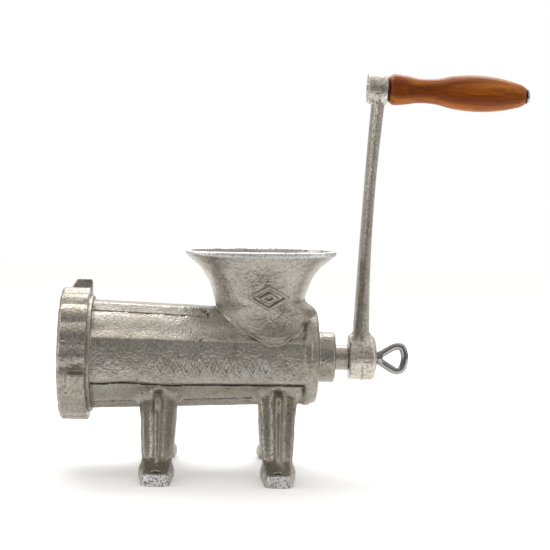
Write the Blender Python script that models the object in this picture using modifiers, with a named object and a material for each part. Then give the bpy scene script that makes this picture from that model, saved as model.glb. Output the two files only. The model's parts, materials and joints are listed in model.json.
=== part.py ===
"""Hand crank meat grinder with a bolt-down cast housing, sized for an 82 mm grinding plate.

Run with: blender --background --python part.py

Metres, +Z up. The barrel lies along X: the ring nut is at -X, the crank at +X. The feet stand on Z = 0
and the origin is the centre of the bounding box's bottom face. A "station" is a distance along the
barrel axis from the front face of the ring nut. Heights given with a station are above the barrel axis.
"""

import math

import bmesh
import bpy
from mathutils import Matrix, Vector

# Clearances. Neighbouring pieces never touch, so that each one stays a separate solid.
GAP = 0.0003
LOOSE_GAP = 0.0004

# Smoothness of round shapes: sides of a full turn.
SIDES_LARGE = 64
SIDES_MEDIUM = 40
SIDES_SMALL = 24
SIDES_TINY = 16

# Barrel.
AXIS_HEIGHT = 0.0930
BARREL_FRONT = 0.0090
BARREL_REAR = 0.2066
BARREL_RADIUS_FRONT = 0.0418
BARREL_RADIUS_REAR = 0.0356
COLLAR_START = 0.0242
COLLAR_END = 0.0276
COLLAR_RADIUS = 0.0478
THREAD_RADIUS = 0.0469
REAR_PLATE_START = 0.1962
REAR_PLATE_RADIUS = 0.0384
BOSS_END = 0.2210
BOSS_RADIUS = 0.0204
PAD_HALF_WIDTH = 0.0165
PAD_FACE_FRONT = 0.0434
PAD_FACE_REAR = 0.0370

# Hollow of the barrel.
SEAT_RADIUS = 0.0413
SEAT_END = 0.0138
BORE_RADIUS_FRONT = 0.0362
BORE_RADIUS_REAR = 0.0305
BORE_END = 0.1990
BUSH_OUTER_RADIUS = 0.0130
SHAFT_RADIUS = 0.0102

# Hopper: each section is (height above axis, station of centre, half length, half width, squareness).
HOPPER_SECTIONS = (
    (0.0864, 0.1595, 0.0607, 0.0480, 2.9),
    (0.0832, 0.1595, 0.0604, 0.0477, 2.9),
    (0.0797, 0.1593, 0.0566, 0.0460, 2.7),
    (0.0746, 0.1591, 0.0505, 0.0440, 2.5),
    (0.0649, 0.1590, 0.0430, 0.0418, 2.3),
    (0.0551, 0.1593, 0.0390, 0.0402, 2.1),
    (0.0454, 0.1600, 0.0371, 0.0385, 2.0),
    (0.0400, 0.1640, 0.0400, 0.0368, 2.0),
    (0.0300, 0.1655, 0.0398, 0.0354, 2.0),
    (0.0200, 0.1675, 0.0380, 0.0354, 2.0),
    (0.0100, 0.1690, 0.0360, 0.0360, 2.0),
)
HOPPER_TILT = 0.0100
HOPPER_WALL = 0.0045
HOPPER_POINTS = 40

# Legs and feet.
LEG_STATIONS = (0.0795, 0.1747)
# Each leg section is (height above axis, inner side, outer side, half width).
LEG_SECTIONS = (
    (-0.0240, 0.0150, 0.0262, 0.0196),
    (-0.0370, 0.0215, 0.0310, 0.0180),
    (-0.0420, 0.0240, 0.0330, 0.0150),
    (-0.0480, 0.0262, 0.0345, 0.0134),
    (-0.0620, 0.0308, 0.0385, 0.0129),
    (-0.0730, 0.0350, 0.0425, 0.0125),
    (-0.0800, 0.0390, 0.0478, 0.0122),
    (-0.0840, 0.0425, 0.0560, 0.0120),
    (-0.0870, 0.0445, 0.0570, 0.0120),
)
# Each section of a leg's rib is (height, root, front, half width at the root, half width in front).
RIB_SECTIONS = (
    (-0.0262, 0.0220, 0.0325, 0.0052, 0.0034),
    (-0.0290, 0.0240, 0.0366, 0.0052, 0.0036),
    (-0.0420, 0.0290, 0.0388, 0.0048, 0.0032),
    (-0.0560, 0.0330, 0.0422, 0.0038, 0.0023),
    (-0.0700, 0.0380, 0.0460, 0.0030, 0.0016),
    (-0.0790, 0.0430, 0.0520, 0.0026, 0.0012),
    (-0.0840, 0.0450, 0.0590, 0.0024, 0.0010),
)
FOOT_HALF_WIDTH = 0.0122
FOOT_TOE = 0.0800
FOOT_HEEL = 0.0440
FOOT_THICKNESS = 0.0094
FOOT_CORNER = 0.0085
BOLT_HOLE_RADIUS = 0.0043
BOLT_HOLE_OUT = 0.0680

# Ring nut.
RING_LENGTH = 0.0226
RING_RADIUS = 0.0530
RING_FRONT_ROUNDING = 0.0038
SCALLOP_COUNT = 18
SCALLOP_DEPTH = 0.0007
RING_LIP = 0.0050
RING_MOUTH_RADIUS = 0.0375
LUG_COUNT = 3
LUG_FIRST_ANGLE = math.radians(-16.0)
LUG_RADIUS = 0.0603
LUG_HALF_WIDTH = 0.0058
LUG_FRONT = 0.0064
LUG_TOP_FRONT = 0.0106
LUG_BACK = 0.0229

# Grinding plate and its key.
PLATE_RADIUS = 0.0410
PLATE_THICKNESS = 0.0080
PLATE_START = RING_LIP + GAP
PLATE_END = PLATE_START + PLATE_THICKNESS
PLATE_HOLE_RADIUS = 0.0024
PLATE_HOLE_SIDES = 8
PLATE_HOLE_PITCH = 0.0070
PLATE_HOLES_FROM = 0.0122
PLATE_HOLES_TO = 0.0336
PLATE_BORE_RADIUS = 0.0070
KEY_RADIUS = 0.0016
KEY_STATION = 0.0114
KEY_TIP = 0.0389
KEY_ROOT = 0.0448

# Knife.
KNIFE_START = PLATE_END + GAP
KNIFE_END = KNIFE_START + 0.0100
KNIFE_RADIUS = 0.0352
KNIFE_HUB_RADIUS = 0.0125
KNIFE_BLADES = 4
STUD_SQUARE_HALF = 0.0066
STUD_TIP_RADIUS = 0.0066
STUD_TIP_START = 0.0065
STUD_SHANK_RADIUS = 0.0060
STUD_SHANK_END = 0.0440

# Feed screw.
AUGER_START = KNIFE_END + GAP + LOOSE_GAP
AUGER_COLLAR_START = 0.1880
AUGER_COLLAR_END = 0.1965
AUGER_COLLAR_RADIUS = 0.0170
AUGER_CORE_RADIUS = 0.0125
FLIGHT_TURNS = 3.4
FLIGHT_STEPS_PER_TURN = 20
FLIGHT_CLEARANCE = 0.0007
FLIGHT_INSET = 0.0007
FLIGHT_ROOT_THICKNESS = 0.0110
FLIGHT_TIP_THICKNESS = 0.0060
FLIGHT_ROOT = 0.0100
THRUST_WASHER_RADIUS = 0.0180
SHAFT_SHOULDER = 0.2322
SQUARE_HALF = 0.0070
SQUARE_END = 0.2500
SCREW_HOLE_RADIUS = 0.0043
SCREW_HOLE_START = 0.2360

# Crank.
HUB_RADIUS = 0.0178
HUB_START = SHAFT_SHOULDER + GAP
HUB_CORNER = 0.2526
HUB_END = 0.2560
CRANK_RADIUS = 0.2190
BOSS_STATION = 0.2507
CRANK_BOSS_RADIUS = 0.0122
CRANK_BOSS_HALF = 0.0079
ARM_FOOT_STATION = 0.2424
ARM_LEAN = 0.0086
ARM_LEAN_HEIGHT = 0.2010
# Each arm section is (height above axis, thickness along the barrel, width across it).
ARM_SECTIONS = (
    (0.0060, 0.0138, 0.0270),
    (0.0200, 0.0134, 0.0262),
    (0.0400, 0.0120, 0.0240),
    (0.0580, 0.0108, 0.0226),
    (0.0850, 0.0098, 0.0212),
    (0.1100, 0.0092, 0.0202),
    (0.1500, 0.0092, 0.0190),
    (0.1850, 0.0100, 0.0182),
    (0.2150, 0.0108, 0.0176),
)

# Thumb screw: a threaded shank that ends in a bent wire eye.
THUMB_SHANK_RADIUS = 0.0040
THUMB_SHANK_START = 0.2380
THUMB_SHANK_END = 0.2606
WIRE_RADIUS = 0.0026
# The upper half of the eye's wire as (station, height), from its neck to the middle of the bend.
EYE_POINTS = (
    (0.2592, 0.0032),
    (0.2622, 0.0051),
    (0.2662, 0.0077),
    (0.2704, 0.0098),
    (0.2740, 0.0100),
    (0.2773, 0.0075),
    (0.2789, 0.0000),
)

# Handle, along its own axis from the centre of the crank's boss.
HANDLE_DROOP = math.radians(1.5)
SPINDLE_RADIUS = 0.0040
SPINDLE_BACK = -0.0084
SPINDLE_HEAD_RADIUS = 0.0063
SPINDLE_HEAD_START = 0.1218
SPINDLE_HEAD_END = 0.1243
GRIP_START = 0.0097
GRIP_END = 0.1204
GRIP_BORE_RADIUS = 0.0045
# Outline of the grip as (share of its length, radius).
GRIP_OUTLINE = (
    (0.000, 0.0103),
    (0.018, 0.0119),
    (0.075, 0.0123),
    (0.130, 0.0115),
    (0.200, 0.0101),
    (0.280, 0.0098),
    (0.360, 0.0106),
    (0.450, 0.0129),
    (0.540, 0.0142),
    (0.630, 0.0147),
    (0.730, 0.0143),
    (0.830, 0.0128),
    (0.920, 0.0105),
    (0.975, 0.0086),
    (1.000, 0.0070),
)

TOTAL_LENGTH = BOSS_STATION + SPINDLE_HEAD_END * math.cos(HANDLE_DROOP)

# Materials: colour, roughness, metallic.
FINISHES = {
    "tinned_iron": ((0.62, 0.60, 0.56, 1.0), 0.38, 1.0),
    "tool_steel": ((0.56, 0.56, 0.57, 1.0), 0.30, 1.0),
    "bright_steel": ((0.78, 0.79, 0.80, 1.0), 0.12, 1.0),
    "dark_steel": ((0.10, 0.09, 0.09, 1.0), 0.45, 1.0),
    "bronze": ((0.62, 0.42, 0.20, 1.0), 0.35, 1.0),
    "fibre": ((0.82, 0.80, 0.74, 1.0), 0.60, 0.0),
    "varnished_wood": ((0.47, 0.19, 0.06, 1.0), 0.32, 0.0),
}


def clear_scene():
    for obj in list(bpy.data.objects):
        bpy.data.objects.remove(obj)


def new_collection(name):
    collection = bpy.data.collections.new(name)
    bpy.context.scene.collection.children.link(collection)
    return collection


def make_materials():
    made = {}
    for name, (colour, roughness, metallic) in FINISHES.items():
        material = bpy.data.materials.new(name)
        material.use_nodes = True
        shader = material.node_tree.nodes["Principled BSDF"]
        shader.inputs["Base Color"].default_value = colour
        shader.inputs["Roughness"].default_value = roughness
        shader.inputs["Metallic"].default_value = metallic
        made[name] = material
    return made


clear_scene()
PARTS = new_collection("meat_grinder")
CUTTERS = new_collection("cutters")
MATERIALS = make_materials()


def new_empty(name, location, rotation=(0.0, 0.0, 0.0)):
    empty = bpy.data.objects.new(name, None)
    empty.location = location
    empty.rotation_euler = rotation
    PARTS.objects.link(empty)
    return empty


# The barrel frame holds (station, across, height). In the turning frame, local Z runs along the barrel.
BARREL_FRAME = new_empty("barrel_frame", (-TOTAL_LENGTH / 2, 0.0, AXIS_HEIGHT))
TURNING_FRAME = new_empty(
    "turning_frame", (-TOTAL_LENGTH / 2, 0.0, AXIS_HEIGHT), (0.0, math.pi / 2, 0.0)
)
HANDLE_FRAME = new_empty(
    "handle_frame",
    (BOSS_STATION - TOTAL_LENGTH / 2, 0.0, AXIS_HEIGHT + CRANK_RADIUS),
    (0.0, math.pi / 2 + HANDLE_DROOP, 0.0),
)
bpy.context.view_layer.update()


def add(name, mesh, frame, finish=None):
    """A new object in a frame. With no finish it is a helper that a Boolean uses."""
    obj = bpy.data.objects.new(name, mesh)
    obj.parent = frame
    if finish:
        mesh.materials.append(MATERIALS[finish])
        mesh.shade_smooth()
        mesh.set_sharp_from_angle(angle=math.radians(35))
        PARTS.objects.link(obj)
    else:
        obj.hide_render = True
        obj.display_type = "WIRE"
        CUTTERS.objects.link(obj)
    return obj


def boolean(target, operation, helper):
    modifier = target.modifiers.new(helper.name, "BOOLEAN")
    modifier.operation = operation
    modifier.object = helper


def join(target, *helpers):
    for helper in helpers:
        boolean(target, "UNION", helper)


def cut(target, *helpers):
    for helper in helpers:
        boolean(target, "DIFFERENCE", helper)


def turned(name, profile, finish=None, frame=None, sides=SIDES_MEDIUM, closed=False):
    """A body of revolution. The profile is (radius, distance) pairs from the far end to the near end."""
    mesh = bpy.data.meshes.new(name)
    points = [(radius, 0.0, distance) for radius, distance in profile]
    edges = [(i, i + 1) for i in range(len(points) - 1)]
    if closed:
        edges.append((len(points) - 1, 0))
    mesh.from_pydata(points, edges, [])
    obj = add(name, mesh, frame or TURNING_FRAME, finish)
    screw = obj.modifiers.new("turn", "SCREW")
    screw.steps = screw.render_steps = sides
    screw.use_smooth_shade = True
    screw.use_merge_vertices = True
    screw.merge_threshold = 1e-6
    return obj


def rod(name, radius, start, end, finish=None, frame=None, sides=SIDES_SMALL):
    profile = ((0.0, end), (radius, end), (radius, start), (0.0, start))
    return turned(name, profile, finish, frame, sides)


def washer(name, inner, outer, start, end, finish, frame=None, sides=SIDES_SMALL):
    profile = ((outer, end), (outer, start), (inner, start), (inner, end))
    return turned(name, profile, finish, frame, sides, closed=True)


def lofted(name, sections, finish=None, frame=None):
    """A closed solid through sections that have the same number of points, wound alike."""
    bm = bmesh.new()
    rings = [[bm.verts.new(point) for point in section] for section in sections]
    count = len(rings[0])
    for lower, upper in zip(rings, rings[1:]):
        for i in range(count):
            j = (i + 1) % count
            bm.faces.new((lower[i], lower[j], upper[j], upper[i]))
    bmesh.ops.triangulate(bm, faces=bm.faces)
    bm.faces.new(reversed(rings[0]))
    bm.faces.new(rings[-1])
    bmesh.ops.recalc_face_normals(bm, faces=bm.faces)
    mesh = bpy.data.meshes.new(name)
    bm.to_mesh(mesh)
    bm.free()
    return add(name, mesh, frame or BARREL_FRAME, finish)


def box(name, low, high, finish=None, frame=None):
    low, high = Vector(low), Vector(high)
    bm = bmesh.new()
    bmesh.ops.create_cube(bm, size=1.0)
    bmesh.ops.scale(bm, vec=high - low, verts=bm.verts)
    bmesh.ops.translate(bm, vec=(low + high) / 2, verts=bm.verts)
    mesh = bpy.data.meshes.new(name)
    bm.to_mesh(mesh)
    bm.free()
    return add(name, mesh, frame or BARREL_FRAME, finish)


def mesh_from_curve(name, curve_data, placing):
    """The solid of a curve object as a welded mesh, moved by the matrix placing."""
    guide = bpy.data.objects.new(name + "_guide", curve_data)
    CUTTERS.objects.link(guide)
    graph = bpy.context.evaluated_depsgraph_get()
    mesh = bpy.data.meshes.new_from_object(guide.evaluated_get(graph))
    bpy.data.objects.remove(guide)
    mesh.name = name
    bm = bmesh.new()
    bm.from_mesh(mesh)
    bmesh.ops.remove_doubles(bm, verts=bm.verts, dist=1e-6)
    bmesh.ops.transform(bm, matrix=placing, verts=bm.verts)
    bmesh.ops.recalc_face_normals(bm, faces=bm.faces)
    bm.to_mesh(mesh)
    bm.free()
    mesh.materials.clear()
    return mesh


def extruded(name, outline, low, high, placing, finish=None, frame=None):
    """A flat outline given thickness from low to high along its normal, then placed."""
    data = bpy.data.curves.new(name, "CURVE")
    data.dimensions = "2D"
    data.fill_mode = "BOTH"
    data.extrude = (high - low) / 2
    spline = data.splines.new("POLY")
    spline.points.add(len(outline) - 1)
    for point, (x, y) in zip(spline.points, outline):
        point.co = (x, y, 0.0, 1.0)
    spline.use_cyclic_u = True
    lift = Matrix.Translation((0.0, 0.0, (low + high) / 2))
    mesh = mesh_from_curve(name, data, placing @ lift)
    return add(name, mesh, frame or BARREL_FRAME, finish)


# An outline drawn as (across, height) and thickened along the barrel.
ACROSS_PLANE = Matrix(((0, 0, 1, 0), (1, 0, 0, 0), (0, 1, 0, 0), (0, 0, 0, 1)))
# An outline drawn as (station, height) and thickened across the barrel, towards -Y.
SIDE_PLANE = Matrix(((1, 0, 0, 0), (0, 0, -1, 0), (0, 1, 0, 0), (0, 0, 0, 1)))


def smooth_points(points, steps, closed=False):
    """Points of a Catmull-Rom curve through the given ones, with the given steps between each two."""
    ends = list(points)
    count = len(ends)
    spans = count if closed else count - 1
    made = []
    for i in range(spans):
        if closed:
            p0, p1, p2, p3 = (Vector(ends[(i + k) % count]) for k in (-1, 0, 1, 2))
        else:
            p0, p1, p2, p3 = (
                Vector(ends[min(max(i + k, 0), count - 1)]) for k in (-1, 0, 1, 2)
            )
        for step in range(steps):
            t = step / steps
            made.append(
                (
                    2 * p1
                    + (p2 - p0) * t
                    + (2 * p0 - 5 * p1 + 4 * p2 - p3) * t**2
                    + (3 * p1 - p0 - 3 * p2 + p3) * t**3
                )
                / 2
            )
    if not closed:
        made.append(Vector(ends[-1]))
    return made


def superellipse(half_length, half_width, squareness, count):
    """Points round an oval: squareness 2 is an ellipse, and a larger one is nearer a rectangle."""
    made = []
    for i in range(count):
        angle = 2 * math.pi * i / count
        c, s = math.cos(angle), math.sin(angle)
        scale = (abs(c) ** squareness + abs(s) ** squareness) ** (-1 / squareness)
        made.append((half_length * scale * c, half_width * scale * s))
    return made


def rounded_corner(centre, radius, start_angle, steps=4):
    """Points of a quarter circle, counter-clockwise from start_angle."""
    made = []
    for i in range(steps + 1):
        angle = start_angle + math.pi / 2 * i / steps
        made.append(
            (
                centre[0] + radius * math.cos(angle),
                centre[1] + radius * math.sin(angle),
            )
        )
    return made


def mix(low, high, share):
    return low + (high - low) * share


def bore_radius(station):
    share = (station - SEAT_END) / (BORE_END - SEAT_END)
    return mix(BORE_RADIUS_FRONT, BORE_RADIUS_REAR, share)


# --- Housing ------------------------------------------------------------------------------------


def barrel_profile():
    """Outside of the barrel with its thread, collar, rounded rear wall and boss."""
    return (
        (0.0, BOSS_END),
        (BOSS_RADIUS - 0.0030, BOSS_END),
        (BOSS_RADIUS - 0.0009, BOSS_END - 0.0010),
        (BOSS_RADIUS, BOSS_END - 0.0032),
        (BOSS_RADIUS, BARREL_REAR + 0.0010),
        (BOSS_RADIUS + 0.0014, BARREL_REAR - 0.0002),
        (REAR_PLATE_RADIUS - 0.0065, BARREL_REAR - 0.0008),
        (REAR_PLATE_RADIUS - 0.0018, BARREL_REAR - 0.0026),
        (REAR_PLATE_RADIUS, BARREL_REAR - 0.0062),
        (REAR_PLATE_RADIUS, REAR_PLATE_START),
        (BARREL_RADIUS_REAR, REAR_PLATE_START - 0.0020),
        (BARREL_RADIUS_FRONT, COLLAR_END + 0.0060),
        (BARREL_RADIUS_FRONT + 0.0012, COLLAR_END + 0.0026),
        (COLLAR_RADIUS - 0.0016, COLLAR_END),
        (COLLAR_RADIUS, COLLAR_END - 0.0006),
        (COLLAR_RADIUS, COLLAR_START),
        (THREAD_RADIUS - 0.0010, COLLAR_START - 0.0006),
        (THREAD_RADIUS - 0.0010, COLLAR_START - 0.0024),
        (THREAD_RADIUS, COLLAR_START - 0.0034),
        (THREAD_RADIUS, BARREL_FRONT + 0.0012),
        (THREAD_RADIUS - 0.0012, BARREL_FRONT),
        (0.0, BARREL_FRONT),
    )


def bore_profile():
    """The hollow: bush hole, tapered bore and plate seat, run out past the front end."""
    past_end = 0.0020
    bush_hole = BUSH_OUTER_RADIUS + GAP
    return (
        (0.0, BOSS_END + past_end),
        (bush_hole, BOSS_END + past_end),
        (bush_hole, BORE_END),
        (BORE_RADIUS_REAR, BORE_END),
        (BORE_RADIUS_FRONT, SEAT_END),
        (SEAT_RADIUS, SEAT_END),
        (SEAT_RADIUS, BARREL_FRONT - past_end),
        (0.0, BARREL_FRONT - past_end),
    )


def barrel_pad(name, angle):
    """A raised flat strip along the barrel, turned about its axis by angle."""
    ends = (
        (COLLAR_END - 0.0010, PAD_FACE_FRONT),
        (REAR_PLATE_START + 0.0030, PAD_FACE_REAR),
    )
    root = BORE_RADIUS_FRONT + 0.0010
    turn = Matrix.Rotation(angle, 3, "X")
    sections = []
    for station, face in ends:
        corners = (
            (-PAD_HALF_WIDTH - 0.0010, root - 0.0030),
            (-PAD_HALF_WIDTH, face - 0.0008),
            (-PAD_HALF_WIDTH + 0.0012, face),
            (PAD_HALF_WIDTH - 0.0012, face),
            (PAD_HALF_WIDTH, face - 0.0008),
            (PAD_HALF_WIDTH + 0.0010, root - 0.0030),
        )
        sections.append([turn @ Vector((station, y, z)) for y, z in corners])
    return lofted(name, sections)


def hopper_shell(name, inset, above, below):
    """The hopper's outside, or with an inset its hollow, run on above its top and below its foot."""
    sections = []
    heights = [section[0] for section in HOPPER_SECTIONS]
    for height, centre, length, width, squareness in HOPPER_SECTIONS:
        if height == heights[0]:
            height += above
        if height == heights[-1]:
            height -= below
        ring = superellipse(length - inset, width - inset, squareness, HOPPER_POINTS)
        tilt = HOPPER_TILT if height > 0.05 else 0.0
        sections.append([(centre + x, y, height + tilt * x) for x, y in ring])
    return lofted(name, sections)


def leg_section(height, inner, outer, half_width, side):
    """A slice of a leg: a plate across the barrel with its four corners taken off."""
    cut_off = 0.0016
    corners = (
        (-half_width, inner + cut_off),
        (cut_off - half_width, inner),
        (half_width - cut_off, inner),
        (half_width, inner + cut_off),
        (half_width, outer - cut_off),
        (half_width - cut_off, outer),
        (cut_off - half_width, outer),
        (-half_width, outer - cut_off),
    )
    return [(x, side * y, height) for x, y in corners]


def rib_section(height, root, front, root_half, front_half, side):
    corners = (
        (-root_half, root),
        (root_half, root),
        (front_half, front),
        (-front_half, front),
    )
    return [(x, side * y, height) for x, y in corners]


def foot_outline(side):
    """Plan of a foot as (station, across) from its heel to its rounded toe."""
    edge, toe, corner = FOOT_HALF_WIDTH, FOOT_TOE, FOOT_CORNER
    points = [(-edge, FOOT_HEEL), (edge, FOOT_HEEL)]
    points += rounded_corner((edge - corner, toe - corner), corner, 0.0)
    points += rounded_corner((corner - edge, toe - corner), corner, math.pi / 2)
    points = [(x, side * y) for x, y in points]
    return points if side > 0 else points[::-1]


def add_leg(housing, name, station, side):
    """A leg plate, the rib down its outer face and its foot."""
    plate = lofted(name + "_plate", [leg_section(*s, side) for s in LEG_SECTIONS])
    rib = lofted(name + "_rib", [rib_section(*s, side) for s in RIB_SECTIONS])
    ground = Matrix.Translation((0.0, 0.0, -AXIS_HEIGHT))
    foot = extruded(name + "_foot", foot_outline(side), 0.0, FOOT_THICKNESS, ground)
    for piece in (plate, rib, foot):
        piece.location.x = station
    join(housing, plate, rib, foot)


def bolt_hole(name, station, side):
    hole = rod(name, BOLT_HOLE_RADIUS, -0.004, 0.020, sides=SIDES_TINY)
    hole.parent = BARREL_FRAME
    hole.location = (station, side * BOLT_HOLE_OUT, -AXIS_HEIGHT)
    return hole


def build_housing():
    """The one-piece casting: barrel, hopper, four legs and the boss for the rear bush."""
    housing = turned("housing", barrel_profile(), "tinned_iron", sides=SIDES_LARGE)
    for name, turn in (("top", 0), ("front", 90), ("bottom", 180), ("back", 270)):
        join(housing, barrel_pad(name + "_pad", math.radians(turn)))
    join(housing, hopper_shell("hopper_outside", 0.0, 0.0, 0.0))
    for end, station in zip(("front", "rear"), LEG_STATIONS):
        for side_name, side in (("near", -1), ("far", 1)):
            add_leg(housing, f"{end}_{side_name}_leg", station, side)
            cut(housing, bolt_hole(f"{end}_{side_name}_hole", station, side))
    cut(housing, hopper_shell("hopper_hollow", HOPPER_WALL, 0.0030, 0.0))
    cut(housing, turned("barrel_hollow", bore_profile(), sides=SIDES_LARGE))
    key_hole = rod("key_hole", KEY_RADIUS + GAP, KEY_TIP, KEY_ROOT, sides=SIDES_TINY)
    key_hole.parent = BARREL_FRAME
    key_hole.location = (KEY_STATION, 0.0, 0.0)
    cut(housing, key_hole)


# --- Pieces held in the housing -----------------------------------------------------------------


def build_bearings():
    washer(
        "rear_bush",
        SHAFT_RADIUS + GAP,
        BUSH_OUTER_RADIUS,
        BORE_END + GAP,
        BOSS_END - GAP,
        "bronze",
    )
    washer(
        "thrust_washer",
        SHAFT_RADIUS + LOOSE_GAP,
        THRUST_WASHER_RADIUS,
        AUGER_COLLAR_END + GAP,
        BORE_END - GAP,
        "fibre",
    )


def build_key():
    """The pin in the top of the plate seat that keeps the plate from turning."""
    key = rod(
        "plate_key_pin", KEY_RADIUS, KEY_TIP, KEY_ROOT - GAP, "tool_steel", sides=12
    )
    key.parent = BARREL_FRAME
    key.location = (KEY_STATION, 0.0, 0.0)


# --- Feed screw, stud and knife -----------------------------------------------------------------


def flight_sections():
    """Rectangles along the helix, as wide at the root as a cast flight, and thinner at its rim."""
    steps = round(FLIGHT_TURNS * FLIGHT_STEPS_PER_TURN)
    margin = FLIGHT_ROOT_THICKNESS / 2 + FLIGHT_INSET
    first, last = AUGER_START + margin, AUGER_COLLAR_END - margin
    for i in range(steps + 1):
        share = i / steps
        station = mix(first, last, share)
        angle = 2 * math.pi * FLIGHT_TURNS * share
        rim = bore_radius(station) - FLIGHT_CLEARANCE
        corners = (
            (station - FLIGHT_ROOT_THICKNESS / 2, FLIGHT_ROOT),
            (station + FLIGHT_ROOT_THICKNESS / 2, FLIGHT_ROOT),
            (station + FLIGHT_TIP_THICKNESS / 2, rim),
            (station - FLIGHT_TIP_THICKNESS / 2, rim),
        )
        yield [(x, r * math.cos(angle), r * math.sin(angle)) for x, r in corners]


def build_auger():
    profile = (
        (0.0, SHAFT_SHOULDER),
        (SHAFT_RADIUS, SHAFT_SHOULDER),
        (SHAFT_RADIUS, AUGER_COLLAR_END),
        (AUGER_COLLAR_RADIUS, AUGER_COLLAR_END),
        (AUGER_COLLAR_RADIUS, AUGER_COLLAR_START),
        (AUGER_CORE_RADIUS, AUGER_COLLAR_START - 0.0080),
        (AUGER_CORE_RADIUS, AUGER_START),
        (0.0, AUGER_START),
    )
    auger = turned("auger", profile, "tinned_iron")
    join(auger, lofted("auger_flight", list(flight_sections())))
    half = SQUARE_HALF
    square = box(
        "shaft_square",
        (SHAFT_SHOULDER - 0.0100, -half, -half),
        (SQUARE_END, half, half),
    )
    join(auger, square)
    cut(
        auger,
        rod(
            "screw_hole", SCREW_HOLE_RADIUS, SCREW_HOLE_START, SQUARE_END + 0.002, sides=16
        ),
        rod(
            "stud_hole",
            STUD_SHANK_RADIUS + GAP,
            AUGER_START - 0.002,
            STUD_SHANK_END + GAP,
            sides=SIDES_TINY,
        ),
    )


def build_drive_stud():
    """The steel stud in the front of the feed screw: it drives the knife and runs in the plate."""
    stud = rod(
        "drive_stud",
        STUD_SHANK_RADIUS,
        KNIFE_START,
        STUD_SHANK_END,
        "tool_steel",
        sides=SIDES_TINY,
    )
    half = STUD_SQUARE_HALF
    square = box(
        "stud_square", (KNIFE_START - 0.0002, -half, -half), (KNIFE_END, half, half)
    )
    tip = rod(
        "stud_tip", STUD_TIP_RADIUS, STUD_TIP_START, KNIFE_START + 0.002, sides=20
    )
    join(stud, square, tip)


def knife_outline():
    """Four swept blades round a hub, as (across, height)."""
    points = []
    half_step = math.pi / KNIFE_BLADES
    for i in range(KNIFE_BLADES):
        middle = 2 * math.pi * i / KNIFE_BLADES
        corners = (
            (KNIFE_HUB_RADIUS, -half_step),
            (KNIFE_HUB_RADIUS + 0.0025, -0.36),
            (KNIFE_RADIUS, -0.02),
            (KNIFE_RADIUS, 0.20),
            (KNIFE_RADIUS * 0.70, 0.17),
            (KNIFE_HUB_RADIUS + 0.0030, 0.42),
        )
        for radius, turn in corners:
            angle = middle + turn
            points.append((radius * math.cos(angle), radius * math.sin(angle)))
    return points


def build_knife():
    knife = extruded(
        "knife", knife_outline(), KNIFE_START, KNIFE_END, ACROSS_PLANE, "tool_steel"
    )
    half = STUD_SQUARE_HALF + GAP
    eye = box(
        "knife_square",
        (KNIFE_START - 0.002, -half, -half),
        (KNIFE_END + 0.002, half, half),
    )
    cut(knife, eye)


# --- Grinding plate and ring nut ----------------------------------------------------------------


def plate_holes():
    """All the plate's small holes as one helper, on a triangular grid between two circles."""
    row_height = PLATE_HOLE_PITCH * math.sqrt(3) / 2
    reach = math.ceil(PLATE_HOLES_TO / row_height)
    bm = bmesh.new()
    along = Matrix.Rotation(math.pi / 2, 4, "Y")
    for row in range(-reach, reach + 1):
        for column in range(-reach - 1, reach + 2):
            y = (column + (row % 2) / 2) * PLATE_HOLE_PITCH
            z = row * row_height
            if not PLATE_HOLES_FROM <= math.hypot(y, z) <= PLATE_HOLES_TO:
                continue
            middle = (PLATE_START + PLATE_END) / 2
            bmesh.ops.create_cone(
                bm,
                cap_ends=True,
                segments=PLATE_HOLE_SIDES,
                radius1=PLATE_HOLE_RADIUS,
                radius2=PLATE_HOLE_RADIUS,
                depth=PLATE_THICKNESS + 0.004,
                matrix=Matrix.Translation((middle, y, z)) @ along,
            )
    mesh = bpy.data.meshes.new("plate_holes")
    bm.to_mesh(mesh)
    bm.free()
    return add("plate_holes", mesh, BARREL_FRAME)


def build_plate():
    plate = washer(
        "grinder_plate",
        PLATE_BORE_RADIUS,
        PLATE_RADIUS,
        PLATE_START,
        PLATE_END,
        "tool_steel",
        sides=SIDES_LARGE,
    )
    notch_half = KEY_RADIUS + LOOSE_GAP
    notch = box(
        "key_notch",
        (PLATE_START - 0.002, -notch_half, KEY_TIP - LOOSE_GAP),
        (PLATE_END + 0.002, notch_half, PLATE_RADIUS + 0.002),
    )
    cut(plate, plate_holes(), notch)


def scalloped_blank():
    """The ring's outside: a drum whose radius swings in and out round the rim, rounded in front."""
    count = SCALLOP_COUNT * 6
    rounding = RING_FRONT_ROUNDING
    sections = []
    for station, inset in (
        (0.0, rounding),
        (rounding * 0.3, rounding * 0.35),
        (rounding, 0.0),
        (RING_LENGTH - 0.0008, 0.0),
        (RING_LENGTH, 0.0008),
    ):
        section = []
        for i in range(count):
            angle = 2 * math.pi * i / count
            swing = SCALLOP_DEPTH * math.cos(SCALLOP_COUNT * (angle - LUG_FIRST_ANGLE))
            radius = RING_RADIUS + swing - inset
            section.append(
                (station, -radius * math.cos(angle), radius * math.sin(angle))
            )
        sections.append(section)
    return lofted("ring_nut", sections, "tinned_iron")


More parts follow.
